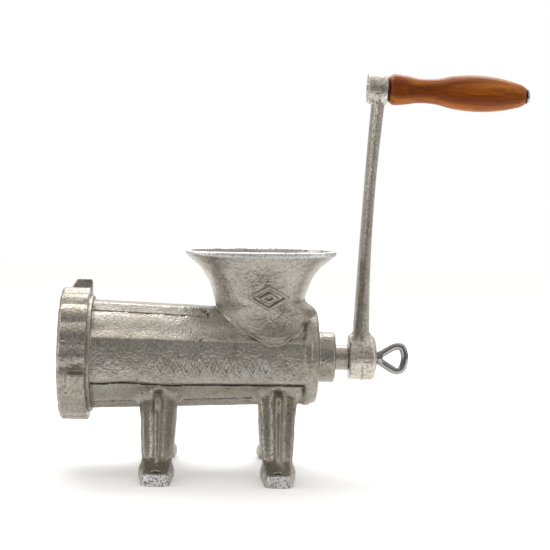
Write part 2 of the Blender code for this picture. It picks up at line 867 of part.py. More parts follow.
def build_ring():
    ring = scalloped_blank()
    root = RING_RADIUS - 0.0040
    lug_side_view = (
        (LUG_FRONT, root),
        (LUG_BACK, root),
        (LUG_BACK, LUG_RADIUS),
        (LUG_TOP_FRONT, LUG_RADIUS),
        (LUG_FRONT, RING_RADIUS),
    )
    for i in range(LUG_COUNT):
        angle = LUG_FIRST_ANGLE + 2 * math.pi * i / LUG_COUNT
        turn = Matrix.Rotation(math.pi / 2 - angle, 4, "X")
        lug = extruded(
            f"ring_lug_{i + 1}",
            lug_side_view,
            -LUG_HALF_WIDTH,
            LUG_HALF_WIDTH,
            turn @ SIDE_PLANE,
        )
        join(ring, lug)
    thread_bore = THREAD_RADIUS + LOOSE_GAP
    past_end = 0.0030
    hollow = turned(
        "ring_hollow",
        (
            (0.0, RING_LENGTH + past_end),
            (thread_bore, RING_LENGTH + past_end),
            (thread_bore, RING_LIP),
            (RING_MOUTH_RADIUS, RING_LIP),
            (RING_MOUTH_RADIUS + 0.0012, -past_end),
            (0.0, -past_end),
        ),
        sides=SIDES_LARGE,
    )
    cut(ring, hollow)


# --- Crank --------------------------------------------------------------------------------------


def arm_station(height):
    return ARM_FOOT_STATION + ARM_LEAN * (height / ARM_LEAN_HEIGHT) ** 2


def arm_section(height, thickness, width):
    """A flat bar with rounded faces that meet in a ridge along each edge."""
    x, y = thickness / 2, width / 2
    corners = (
        (x, -0.30 * y),
        (x, 0.30 * y),
        (0.72 * x, 0.78 * y),
        (0.10 * x, y),
        (-0.72 * x, 0.78 * y),
        (-x, 0.30 * y),
        (-x, -0.30 * y),
        (-0.72 * x, -0.78 * y),
        (0.10 * x, -y),
        (0.72 * x, -0.78 * y),
    )
    middle = arm_station(height)
    return [(middle + dx, dy, height) for dx, dy in corners]


def build_crank_arm():
    hub_profile = (
        (0.0, HUB_END),
        (0.0080, HUB_END - 0.0003),
        (HUB_RADIUS - 0.0025, HUB_CORNER),
        (HUB_RADIUS, HUB_CORNER - 0.0040),
        (HUB_RADIUS, HUB_START + 0.0015),
        (HUB_RADIUS - 0.0015, HUB_START),
        (0.0, HUB_START),
    )
    arm = turned("crank_arm", hub_profile, "tinned_iron", sides=36)
    bar = lofted("arm_bar", [arm_section(*section) for section in ARM_SECTIONS])
    boss_profile = (
        (0.0, CRANK_BOSS_HALF),
        (CRANK_BOSS_RADIUS - 0.0012, CRANK_BOSS_HALF),
        (CRANK_BOSS_RADIUS, CRANK_BOSS_HALF - 0.0012),
        (CRANK_BOSS_RADIUS, -CRANK_BOSS_HALF + 0.0012),
        (CRANK_BOSS_RADIUS - 0.0012, -CRANK_BOSS_HALF),
        (0.0, -CRANK_BOSS_HALF),
    )
    boss = turned("arm_boss", boss_profile, frame=HANDLE_FRAME, sides=30)
    join(arm, bar, boss)
    half = SQUARE_HALF + GAP
    socket = box(
        "hub_socket",
        (HUB_START - 0.002, -half, -half),
        (SQUARE_END + 0.0008, half, half),
    )
    screw_way = rod(
        "screw_way",
        THUMB_SHANK_RADIUS + LOOSE_GAP,
        SQUARE_END - 0.002,
        HUB_END + 0.002,
        sides=20,
    )
    spindle_way = rod(
        "spindle_way",
        SPINDLE_RADIUS + GAP,
        -CRANK_BOSS_HALF - 0.003,
        CRANK_BOSS_HALF + 0.003,
        frame=HANDLE_FRAME,
        sides=20,
    )
    cut(arm, socket, screw_way, spindle_way)


def build_thumb_screw():
    screw = rod(
        "thumb_screw",
        THUMB_SHANK_RADIUS,
        THUMB_SHANK_START,
        THUMB_SHANK_END,
        "bright_steel",
        sides=20,
    )
    data = bpy.data.curves.new("thumb_eye", "CURVE")
    data.dimensions = "3D"
    data.bevel_depth = WIRE_RADIUS
    data.bevel_resolution = 3
    data.use_fill_caps = True
    half = smooth_points(EYE_POINTS, 3)
    points = half + [Vector((x, -z)) for x, z in half[-2::-1]]
    spline = data.splines.new("POLY")
    spline.points.add(len(points) - 1)
    for point, (station, height) in zip(spline.points, points):
        point.co = (station, 0.0, height, 1.0)
    eye_mesh = mesh_from_curve("thumb_eye", data, Matrix.Identity(4))
    join(screw, add("thumb_eye", eye_mesh, BARREL_FRAME))


def build_handle():
    """The spindle screw, its two washers and the turned grip that spins on it."""
    head = SPINDLE_HEAD_RADIUS
    spindle_profile = (
        (0.0, SPINDLE_HEAD_END),
        (head * 0.55, SPINDLE_HEAD_END - 0.0004),
        (head * 0.88, SPINDLE_HEAD_END - 0.0013),
        (head, SPINDLE_HEAD_START),
        (SPINDLE_RADIUS, SPINDLE_HEAD_START),
        (SPINDLE_RADIUS, SPINDLE_BACK),
        (0.0, SPINDLE_BACK),
    )
    turned("handle_spindle", spindle_profile, "bright_steel", HANDLE_FRAME, 20)
    hole = SPINDLE_RADIUS + LOOSE_GAP
    washer(
        "inner_washer",
        hole,
        0.0095,
        CRANK_BOSS_HALF + GAP,
        GRIP_START - GAP,
        "dark_steel",
        HANDLE_FRAME,
    )
    washer(
        "outer_washer",
        hole,
        0.0058,
        GRIP_END + GAP,
        SPINDLE_HEAD_START - GAP,
        "dark_steel",
        HANDLE_FRAME,
    )
    length = GRIP_END - GRIP_START
    outside = [
        (radius, GRIP_START + share * length)
        for share, radius in smooth_points(GRIP_OUTLINE, 2)
    ]
    bore = [(GRIP_BORE_RADIUS, GRIP_START), (GRIP_BORE_RADIUS, GRIP_END)]
    turned(
        "handle_grip",
        outside[::-1] + bore,
        "varnished_wood",
        HANDLE_FRAME,
        28,
        closed=True,
    )


build_housing()
build_bearings()
build_key()
build_auger()
build_drive_stud()
build_knife()
build_plate()
build_ring()
build_crank_arm()
build_thumb_screw()
build_handle()
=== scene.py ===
"""Looks of the hand crank meat grinder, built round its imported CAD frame.

Shapes are written in millimetres as (station, across, height): the distance along the barrel's axis from
the ring nut's front face, the distance from the middle plane, and the height above the axis.
"""

import json
import math

import bmesh
import bpy
import numpy as np
from mathutils import Matrix, Vector, geometry


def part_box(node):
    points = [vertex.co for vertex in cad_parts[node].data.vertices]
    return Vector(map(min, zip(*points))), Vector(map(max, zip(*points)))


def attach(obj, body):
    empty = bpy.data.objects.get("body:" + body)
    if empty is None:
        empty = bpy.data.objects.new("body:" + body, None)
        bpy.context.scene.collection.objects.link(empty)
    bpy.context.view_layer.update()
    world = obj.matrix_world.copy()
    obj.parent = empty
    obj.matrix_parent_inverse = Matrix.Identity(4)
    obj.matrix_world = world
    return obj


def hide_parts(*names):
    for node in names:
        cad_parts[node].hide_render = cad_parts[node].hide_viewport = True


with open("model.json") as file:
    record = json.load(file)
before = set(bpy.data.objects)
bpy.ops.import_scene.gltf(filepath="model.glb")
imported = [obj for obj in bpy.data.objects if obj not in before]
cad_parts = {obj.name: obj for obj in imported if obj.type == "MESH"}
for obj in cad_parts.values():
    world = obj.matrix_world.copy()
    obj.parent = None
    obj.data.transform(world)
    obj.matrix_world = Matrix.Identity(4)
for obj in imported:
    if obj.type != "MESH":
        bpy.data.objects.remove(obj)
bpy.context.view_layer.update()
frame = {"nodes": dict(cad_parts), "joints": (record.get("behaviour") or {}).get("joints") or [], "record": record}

MM = 0.001
JOINTS = {joint["name"]: joint for joint in frame["joints"]}
AXIS_Z = JOINTS["crank_turn"]["pos_m"][2]
FRONT_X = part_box("ring_nut")[0].x
GROUND = -AXIS_Z / MM


# --- Distance functions ---
# Each returns the distance from points to a solid, in millimetres and negative inside.


def joined(a, b, fillet):
    """Both solids, with a round fillet where they meet."""
    u = np.maximum(fillet - a, 0.0)
    v = np.maximum(fillet - b, 0.0)
    return np.maximum(fillet, np.minimum(a, b)) - np.hypot(u, v)


def common(a, b, rounding):
    """What both solids share, with its edge rounded."""
    u = np.maximum(rounding + a, 0.0)
    v = np.maximum(rounding + b, 0.0)
    return np.minimum(-rounding, np.maximum(a, b)) + np.hypot(u, v)


def without(a, b, rounding):
    return common(a, -b, rounding)


def between(x, low, high):
    return np.maximum(low - x, x - high)


def drum(s, r, start, end, radius, rounding):
    return common(between(s, start, end), r - radius, rounding)


def path_distance(x, y, points):
    """Distance to a line through points in a plane."""
    nearest = np.full(x.shape, np.inf)
    for (ax, ay), (bx, by) in zip(points, points[1:]):
        ex, ey = bx - ax, by - ay
        wx, wy = x - ax, y - ay
        t = np.clip((wx * ex + wy * ey) / (ex * ex + ey * ey), 0.0, 1.0)
        nearest = np.minimum(nearest, (wx - ex * t) ** 2 + (wy - ey * t) ** 2)
    return np.sqrt(nearest)


def polygon(x, y, corners):
    """Distance to a closed outline in a plane, negative inside."""
    closed = corners + corners[:1]
    inside = np.zeros(x.shape, bool)
    for (ax, ay), (bx, by) in zip(closed, closed[1:]):
        if ay != by:
            inside ^= ((ay <= y) != (by <= y)) & (x < ax + (y - ay) * (bx - ax) / (by - ay))
    return np.where(inside, -1.0, 1.0) * path_distance(x, y, closed)


def smooth_rows(rows, count=240):
    """Rows resampled on a smooth curve through the given ones, evenly by their first column."""
    rows = np.array(sorted(rows), float)
    x = rows[:, 0]
    slopes = np.gradient(rows, x, axis=0)
    at = np.linspace(x[0], x[-1], count)
    i = np.clip(np.searchsorted(x, at, side="right") - 1, 0, len(x) - 2)
    step = (x[i + 1] - x[i])[:, None]
    t = ((at - x[i])[:, None]) / step
    return (
        (2 * t**3 - 3 * t**2 + 1) * rows[i]
        + (t**3 - 2 * t**2 + t) * step * slopes[i]
        + (3 * t**2 - 2 * t**3) * rows[i + 1]
        + (t**3 - t**2) * step * slopes[i + 1]
    )


def column(table, number, at):
    return np.interp(at, table[:, 0], table[:, number])


BROAD_WAVE, FINE_WAVE = 0.16, 0.09


def unevenness(s, y, h):
    """The slight waves of a hand-poured casting, as height over its ideal surface."""
    broad = np.sin(0.21 * s + 1.7 * np.sin(0.13 * h + 0.9)) * np.sin(0.19 * y + 0.17 * h)
    fine = np.sin(0.55 * s + 2.0 * np.sin(0.31 * y)) * np.sin(0.47 * h + 1.3 * np.sin(0.37 * s))
    return BROAD_WAVE * broad + FINE_WAVE * fine


# --- Housing ---

# Hopper sections: height, station of the centre, half length, half width, squareness.
HOPPER = smooth_rows(
    (
        (89.0, 159.5, 60.8, 48.1, 2.9), (86.4, 159.5, 60.7, 48.0, 2.9),
        (83.2, 159.5, 60.4, 47.7, 2.9), (79.7, 159.3, 56.6, 46.0, 2.7),
        (74.6, 159.1, 50.5, 44.0, 2.5), (64.9, 159.0, 43.0, 41.8, 2.3),
        (55.1, 159.3, 39.0, 40.2, 2.1), (45.4, 160.0, 37.1, 38.5, 2.0),
        (40.0, 164.0, 40.0, 36.8, 2.0), (30.0, 165.5, 39.8, 35.4, 2.0),
        (20.0, 167.5, 38.0, 35.4, 2.0), (10.0, 169.0, 36.0, 36.0, 2.0),
        (0.0, 169.0, 34.0, 36.0, 2.0),
    )
)
HOPPER_TOP, HOPPER_CENTRE, HOPPER_WALL, HOPPER_FLOOR = 86.4, 159.5, 4.5, 2.0
# The hopper's mouth rises by this slope, which sets in over the stated heights.
HOPPER_TILT, TILT_FROM, TILT_OVER = 0.0100, 45.0, 20.0

# Legs: height, inner side, outer side, half width.
LEG = smooth_rows(
    (
        (-14.0, 9.0, 20.0, 17.5), (-24.0, 15.0, 26.2, 16.6),
        (-37.0, 21.5, 31.0, 15.4), (-42.0, 24.0, 33.0, 14.8),
        (-48.0, 26.2, 34.5, 14.2), (-62.0, 30.8, 38.5, 13.6),
        (-73.0, 35.0, 42.5, 12.8), (-80.0, 39.0, 47.8, 11.9),
        (-84.0, 42.5, 56.0, 11.4), (-93.0, 47.0, 58.0, 11.4),
    )
)
# The rib on a leg: height, root, front, half width at the root, half width in front.
RIB = smooth_rows(
    (
        (-24.0, 20.5, 30.0, 4.4, 2.3), (-29.0, 24.0, 37.0, 4.4, 2.3),
        (-42.0, 29.0, 39.6, 4.0, 2.1), (-56.0, 33.0, 43.2, 3.5, 1.8),
        (-70.0, 38.0, 47.0, 3.0, 1.6), (-79.0, 43.0, 52.4, 2.6, 1.5),
        (-84.0, 45.0, 58.0, 2.4, 1.4),
    )
)
LEG_STATIONS = (79.5, 174.7)
LEG_REACH, LEG_TOP, WEB_SOLE, WEB_CROWN, WEB_EDGE = 40.0, -14.0, 6.6, 0.009, 3.8
RIB_TOP, RIB_SOLE, RIB_EDGE, RIB_FILLET = -25.8, 5.0, 1.5, 5.0
FOOT_HALF, FOOT_TOE, FOOT_HEEL, FOOT_TOP, FOOT_CORNER = 11.5, 80.0, 44.0, 9.2, 7.5
FOOT_MIDDLE, FOOT_FILLET = 60.0, 9.0
BOLT_RADIUS, BOLT_OUT = 4.3, 68.0

BARREL_START, BARREL_END, BARREL_RADII, TUBE_SPAN = 27.6, 206.6, (41.8, 35.6), (9.0, 205.0)
THREAD_ROOT, THREAD_DEPTH, THREAD_PITCH = 44.5, 1.4, 3.0
THREAD_FLANK, THREAD_FLAT, THREAD_CORE = 1.35, 0.2, 43.0
THREAD_START, THREAD_END, THREAD_MIDDLE, THREAD_CHAMFER = 9.2, 20.6, 14.6, 51.0
# Drums along the barrel: start, end, radius.
FRONT_TUBE = (9.0, 24.2, THREAD_ROOT - 0.4)
FRONT_COLLAR = (20.0, 25.4, 47.2)
REAR_PLATE = (196.2, 206.6, 38.4)
REAR_BOSS = (190.0, 221.0, 20.4)
REAR_CHAMFER = 241.4
SEAT_END, BORE_END, BORE_FRONT, BORE_TAPER = 13.8, 199.0, 36.2, 5.7 / 185.2
SEAT_RADIUS, BUSH_RADIUS = 41.3, 13.3
KEY_STATION, KEY_RADIUS, KEY_FOOT, KEY_TOP = 11.4, 1.9, 38.0, 44.8
# Strips along the barrel. Faces and halves are given at its front and its rear end.
PAD_FACES, PAD_HALVES, PAD_SPAN = (43.4, 37.0), (17.2, 14.0), (21.0, 199.0)
PAD_FOOT, PAD_CROWN, TOP_PAD_HALF, PAD_DRAFT = 18.2, 0.0042, 13.5, math.radians(52.0)
# Creases: radius, distance from the strip's edge, start and end. The fine one ends sooner on top.
DEEP_CREASE, DEEP_BELOW, DEEP_SPAN = 1.5, 0.9, (23.0, 197.0)
FINE_CREASE, FINE_BESIDE, FINE_START, FINE_ENDS = 0.5, 6.9, 23.0, (118.0, 196.0)


def hopper_wall(s, y, h, inset):
    """Across the hopper's wall, before its slope is allowed for."""
    onset = np.clip((h - TILT_FROM) / TILT_OVER, 0.0, 1.0)
    level = h - HOPPER_TILT * (s - HOPPER_CENTRE) * onset
    x = abs(s - column(HOPPER, 1, level))
    a = column(HOPPER, 2, level) - inset
    b = column(HOPPER, 3, level) - inset
    n = column(HOPPER, 4, level)
    u, v = np.maximum(x / a, 1e-6), np.maximum(abs(y) / b, 1e-6)
    g = (u**n + v**n) ** (1 / n)
    steep = g ** (1 - n) * np.hypot(u ** (n - 1) / a, v ** (n - 1) / b)
    return (g - 1) / steep


def hopper_side(s, y, h, inset):
    rise = 0.6
    here = hopper_wall(s, y, h, inset)
    slope = (hopper_wall(s, y, h + rise, inset) - here) / rise
    return here / np.sqrt(1 + slope**2)


def leg(s, y, h):
    """One leg with its rib and foot, about its own station."""
    inner, outer = column(LEG, 1, h), column(LEG, 2, h) - WEB_CROWN * s**2
    lean = 0.87
    web = common(between(y, inner, outer) * lean, abs(s) - column(LEG, 3, h), WEB_EDGE)
    web = np.maximum(web, between(h, GROUND + WEB_SOLE, LEG_TOP))
    root, front = column(RIB, 1, h), column(RIB, 2, h)
    share = np.clip((y - root) / (front - root), -0.5, 1.3)
    half = column(RIB, 3, h) + (column(RIB, 4, h) - column(RIB, 3, h)) * share
    rib = common((y - front) * lean, abs(s) - half, RIB_EDGE)
    rib = np.maximum(rib, root - 2.0 - y)
    rib = common(rib, between(h, GROUND + RIB_SOLE, RIB_TOP), 2.2)
    made = joined(web, rib, RIB_FILLET)
    plan_x = abs(s) - FOOT_HALF + FOOT_CORNER
    plan_y = np.where(y > FOOT_MIDDLE, y - FOOT_TOE, FOOT_HEEL - y) + FOOT_CORNER
    plan = (
        np.hypot(np.maximum(plan_x, 0.0), np.maximum(plan_y, 0.0))
        + np.minimum(np.maximum(plan_x, plan_y), 0.0)
        - FOOT_CORNER
    )
    foot = common(plan, h - GROUND - FOOT_TOP, 2.4)
    foot = common(foot, GROUND - h, 0.7)
    made = joined(made, foot, FOOT_FILLET)
    hole = np.hypot(s, y - BOLT_OUT) - BOLT_RADIUS
    return without(made, hole, 0.6)


def barrel_face(s, faces):
    share = (s - BARREL_START) / (BARREL_END - BARREL_START)
    return faces[0] + (faces[1] - faces[0]) * share


def swell(s, middle, width):
    return np.exp(-(((s - middle) / width) ** 2))


def pads(s, y, h):
    """Four raised, slightly crowned strips along the barrel, and the creases beside them.

    The upper and lower strips have gently sloping walls and a fine crease on each side. The side ones
    slope above, and are undercut below, where a deep crease runs along them.
    """
    beside = abs(y) > abs(h)
    across = np.where(beside, h, abs(y))
    out = np.where(beside, abs(y), abs(h))
    proud = out - barrel_face(s, PAD_FACES) + PAD_CROWN * across**2
    sloping = (across - barrel_face(s, PAD_HALVES) + proud) * math.sqrt(0.5)
    ripple = 1.3 * swell(s, 54.0, 12.0) - 0.8 * swell(s, 88.0, 16.0)
    side = np.maximum(sloping, -across - PAD_FOOT + ripple)
    gentle = (across - TOP_PAD_HALF) * math.cos(PAD_DRAFT) + proud * math.sin(PAD_DRAFT)
    strip = common(np.where(beside, side, gentle), proud, 0.7)
    below_face = np.hypot(y, h) - barrel_face(s, BARREL_RADII)
    deep = np.hypot(h + PAD_FOOT - ripple + DEEP_BELOW, below_face) - DEEP_CREASE
    deep = np.maximum(deep, between(s, *DEEP_SPAN))
    fine = np.hypot(abs(y) - TOP_PAD_HALF - FINE_BESIDE, below_face) - FINE_CREASE
    fine = np.maximum(fine, between(s, FINE_START, np.where(h > 0, *FINE_ENDS)))
    return np.maximum(strip, between(s, *PAD_SPAN)), np.where(beside, deep, fine)


def tapered_tube(s, y, h):
    """The barrel's cone with its strips, without the flanges at its ends."""
    cone = np.hypot(y, h) - barrel_face(s, BARREL_RADII)
    strips, creases = pads(s, y, h)
    tube = np.maximum(joined(cone, strips, 0.7), between(s, *TUBE_SPAN))
    return without(tube, creases, 0.4)


def barrel(s, y, h):
    r = np.hypot(y, h)
    made = tapered_tube(s, y, h)
    made = joined(made, drum(s, r, *FRONT_COLLAR, 0.9), 1.2)
    made = np.minimum(made, drum(s, r, *FRONT_TUBE, 0.6))
    plate = common(drum(s, r, *REAR_PLATE, 1.0), s + r - REAR_CHAMFER, 4.0)
    made = joined(made, plate, 4.0)
    return joined(made, drum(s, r, *REAR_BOSS, 2.2), 2.6)


def barrel_thread(p):
    """The thread that the ring nut turns on, as a sleeve on the barrel's front."""
    s, y, h = p.T
    r = np.hypot(y, h)
    turns = s / THREAD_PITCH + np.arctan2(h, y) / (2 * math.pi)
    flank = 2 * abs(turns - np.round(turns))
    crest = THREAD_ROOT + THREAD_DEPTH * np.clip(THREAD_FLANK * flank - THREAD_FLAT, 0.0, 1.0)
    slant = THREAD_FLANK * 2 * THREAD_DEPTH / THREAD_PITCH
    outer = (r - crest) / math.hypot(1.0, slant)
    outer = common(outer, r + abs(s - THREAD_MIDDLE) - THREAD_CHAMFER, 0.3)
    return np.maximum(np.maximum(outer, THREAD_CORE - r), between(s, THREAD_START, THREAD_END))


def barrel_hollow(s, r):
    bore = np.maximum(r - BORE_FRONT + BORE_TAPER * (s - SEAT_END), s - BORE_END)
    seat = np.maximum(r - SEAT_RADIUS, s - SEAT_END)
    return np.minimum(np.minimum(bore, seat), r - BUSH_RADIUS)


def lozenge(x, y, half_x, half_y):
    """How far a point is from a lozenge's outline."""
    size = math.hypot(half_x, half_y)
    return abs(abs(x) * half_y + abs(y) * half_x - half_x * half_y) / size


# Ornaments. The hopper's: station and height of its middle, half sizes of its two lozenges.
HOPPER_MARK, OUTER_LOZENGE, INNER_LOZENGE = (165.3, 50.2), (15.0, 8.8), (5.6, 3.3)
# The row on the barrel: first station, pitch, number, height of the row, half sizes of each.
ROW_FIRST, ROW_PITCH, ROW_COUNT, ROW_HEIGHT, ROW_LOZENGE = 81.0, 10.4, 9, -5.2, (3.5, 5.9)


def hopper_mark(p):
    """A plain lozenge in a lozenge, raised on the hopper's near side."""
    s, y, h = p.T
    x, z = s - HOPPER_MARK[0], h - HOPPER_MARK[1]
    line = np.minimum(lozenge(x, z, *OUTER_LOZENGE), lozenge(x, z, *INNER_LOZENGE))
    return np.hypot(line, hopper_side(s, y, h, 0.0) - 0.25) - 1.45


def barrel_mark(p):
    """A row of plain small lozenges, raised on the near strip."""
    s, y, h = p.T
    place = np.clip(np.round((s - ROW_FIRST) / ROW_PITCH), 0, ROW_COUNT - 1)
    line = lozenge(s - ROW_FIRST - place * ROW_PITCH, h - ROW_HEIGHT, *ROW_LOZENGE)
    return np.hypot(line, barrel(s, y, h) - 0.3) - 1.15


# Where the hopper's foot ends on the barrel, seen from the side: station, height.
FOOT_LINE = [
    (119.0, 44.0), (124.7, 40.0), (130.8, 36.0), (139.7, 30.0),
    (153.6, 20.0), (161.6, 14.8), (167.0, 12.6), (173.5, 12.6),
    (178.6, 14.8), (184.5, 20.0), (194.4, 30.0), (200.0, 35.0),
    (204.0, 42.0),
]
FOOT_PROUD, SHIELD_FROM, BEAD_FROM = 1.5, 12.0, 14.0


def hopper_foot(s, y, h):
    """The pointed foot of the hopper, which stands a little proud of the barrel on both sides."""
    skin = common(polygon(s, h, FOOT_LINE), tapered_tube(s, y, h) - FOOT_PROUD, 0.8)
    return np.where(abs(y) > SHIELD_FROM, skin, np.maximum(skin, 3.0))


def hopper_bead(p):
    """The fine bead along the edge of the hopper's foot, on both sides."""
    s, y, h = p.T
    line = path_distance(s, h, FOOT_LINE[1:-2])
    bead = np.hypot(line, barrel(s, y, h) - 1.1) - 1.15
    return np.maximum(bead, BEAD_FROM - abs(y))


# A small hole left by sand between the hopper and the upper strip: the place and radius of three balls.
FLAWS = (((115.6, -16.5, 37.0), 2.0), ((118.4, -18.5, 35.0), 1.7), ((113.0, -15.2, 38.2), 1.2))


def housing(p):
    s, y, h = p.T
    r = np.hypot(y, h)
    top = h - HOPPER_TOP - HOPPER_TILT * (s - HOPPER_CENTRE)
    hopper = np.maximum(common(hopper_side(s, y, h, 0.0), top, 1.9), HOPPER_FLOOR - h)
    made = joined(barrel(s, y, h), hopper, 1.6)
    made = joined(made, hopper_foot(s, y, h), 1.0)
    for station in LEG_STATIONS:
        lower = (abs(s - station) < LEG_REACH) & (h < 5.0)
        if lower.any():
            limb = leg(s[lower] - station, abs(y[lower]), h[lower])
            made[lower] = joined(made[lower], limb, 6.0)
    for place, radius in FLAWS:
        spot = np.linalg.norm(p - np.array(place), axis=1) - radius
        made = without(made, spot, 0.4)
    hollow = np.maximum(hopper_side(s, y, h, HOPPER_WALL), HOPPER_FLOOR - h)
    made = without(made, hollow, 1.5)
    made = without(made, barrel_hollow(s, r), 0.5)
    key = np.maximum(np.hypot(s - KEY_STATION, y) - KEY_RADIUS, between(h, KEY_FOOT, KEY_TOP))
    wavy = made - unevenness(s, y, h) * np.clip((h - GROUND) / 6.0, 0.0, 1.0)
    return np.maximum(np.maximum(wavy, -key), np.maximum(GROUND - h, abs(y) - FOOT_TOE))


# --- Ring nut ---

RING_LENGTH, RING_RADIUS, RING_FACE, RING_BORE, RING_PLAY = 22.6, 53.7, 5.0, 46.9, 0.5
RING_MOUTH, MOUTH_DRAFT = 37.5, 0.15
SCALLOPS, SCALLOP_DEPTH = 18, 2.1
LUGS, LUG_ANGLE, LUG_HALF, LUG_REACH, LUG_ROOT = 3, math.radians(-16.0), 5.8, 60.3, 44.0
LUG_START, LUG_END = 4.0, 22.9
# The lug's sloping front: how far out and along it starts, its rise, and its length for a run of 1.
SLOPE_OUT, SLOPE_START, SLOPE_RISE, SLOPE_LENGTH = 53.0, 6.4, 1.738, 2.005


def ring(p):
    s, y, h = p.T
    r = np.hypot(y, h)
    angle = np.arctan2(h, -y) - LUG_ANGLE
    lobe = np.sqrt(np.cos(angle * SCALLOPS / 2) ** 2 + 0.02)
    outside = r - RING_RADIUS + SCALLOP_DEPTH * (1 - lobe)
    made = common(outside - unevenness(s, h, y), s - RING_LENGTH, 0.8)
    made = common(made, -s, 3.6)
    sector = 2 * math.pi / LUGS
    turn = (angle + sector / 2) % sector - sector / 2
    out, across = r * np.cos(turn), r * np.sin(turn)
    lug = common(abs(across) - LUG_HALF, out - LUG_REACH, 1.0)
    slope = ((out - SLOPE_OUT) - (s - SLOPE_START) * SLOPE_RISE) / SLOPE_LENGTH
    lug = common(common(lug, between(s, LUG_START, LUG_END), 1.2), slope, 1.6)
    made = joined(made, np.maximum(lug, LUG_ROOT - out), 0.9)
    hollow = np.maximum(r - RING_BORE - RING_PLAY, RING_FACE - s)
    mouth = r - RING_MOUTH - MOUTH_DRAFT * np.maximum(RING_FACE - s, 0.0)
    return without(np.maximum(made, -hollow), mouth, 1.2)


# --- Crank arm ---

CRANK_RADIUS, BOSS_STATION, BOSS_RADIUS, BOSS_HALF = 219.0, 250.7, 12.2, 7.9
DROOP = math.radians(1.5)
ARM_STATION, ARM_LEAN, ARM_HEIGHT, ARM_END = 242.4, 8.6, 201.0, 214.0
HUB_START, HUB_RADIUS, HUB_SEAM = 232.5, 17.8, 243.4
DOME_CENTRE, DOME_RADIUS = 200.0, 56.0
SEAM_HALF, SEAM_PROUD = 0.45, 0.15
SOCKET_HALF, SOCKET_END, CLEARANCE_HOLE, SPINDLE_HOLE = 7.3, 250.8, 4.4, 4.3
# Arm: height, thickness along the barrel, width across it.
ARM = smooth_rows(
    (
        (-10.0, 13.8, 27.0), (6.0, 13.8, 27.0), (20.0, 13.4, 26.2),
        (40.0, 12.0, 24.0), (58.0, 10.8, 22.6), (85.0, 9.8, 21.2),
        (110.0, 9.2, 20.2), (150.0, 9.2, 19.0), (185.0, 10.0, 18.2),
        (225.0, 10.8, 17.6),
    )
)


def crank_arm(p):
    s, y, h = p.T
    r = np.hypot(y, h)
    middle = ARM_STATION + ARM_LEAN * (np.clip(h, 0.0, None) / ARM_HEIGHT) ** 2
    a, b = column(ARM, 1, h) / 2, column(ARM, 2, h) / 2
    u, v = abs(s - middle) / a, abs(y) / b
    g = (np.maximum(u, 1e-6) ** 1.75 + np.maximum(v, 1e-6) ** 2.6) ** (1 / 2.1)
    bar = (g - 1) * a * 0.9
    seam = np.maximum(abs(s - middle) - SEAM_HALF, abs(y) - b - SEAM_PROUD)
    bar = np.maximum(joined(bar, seam, 0.8), between(h, 0.0, ARM_END))
    hub = common(r - HUB_RADIUS, HUB_START - s, 1.4)
    hub = common(hub, np.hypot(r, s - DOME_CENTRE) - DOME_RADIUS, 2.6)
    seam = np.maximum(abs(s - HUB_SEAM) - SEAM_HALF, r - HUB_RADIUS - 0.35)
    made = joined(bar, joined(hub, seam, 0.6), 5.0)
    x, z = s - BOSS_STATION, h - CRANK_RADIUS
    along = x * math.cos(DROOP) - z * math.sin(DROOP)
    out = np.hypot(y, x * math.sin(DROOP) + z * math.cos(DROOP))
    made = joined(made, common(out - BOSS_RADIUS, abs(along) - BOSS_HALF, 1.3), 2.4)
    socket = np.maximum(np.maximum(abs(y), abs(h)) - SOCKET_HALF, s - SOCKET_END)
    made = without(made, socket, 0.4)
    made = without(made, np.maximum(r - CLEARANCE_HOLE, 245.0 - s), 0.5)
    return without(made, out - SPINDLE_HOLE, 0.5)


# --- Feed screw ---

FLIGHT_TURNS, FLIGHT_FIRST, FLIGHT_LAST = 3.4, 30.5, 190.3
FLIGHT_ROOT, FLIGHT_ROOT_HALF, FLIGHT_TIP_HALF, FLIGHT_CLEARANCE = 10.0, 5.5, 3.0, 0.7
AUGER_START, AUGER_CORE, DISC_START = 24.3, 12.5, 150.0
COLLAR_START, COLLAR_END, COLLAR_RADIUS = 188.0, 196.5, 17.0
SHAFT_RADIUS, SHAFT_END, SQUARE_HALF, SQUARE_END = 10.2, 232.2, 7.0, 250.0
COLLAR_SLOPE, COLLAR_LEAN = 0.5625, 0.87
SCREW_HOLE, SCREW_HOLE_START, STUD_HOLE, STUD_HOLE_END = 4.3, 236.0, 6.3, 44.3


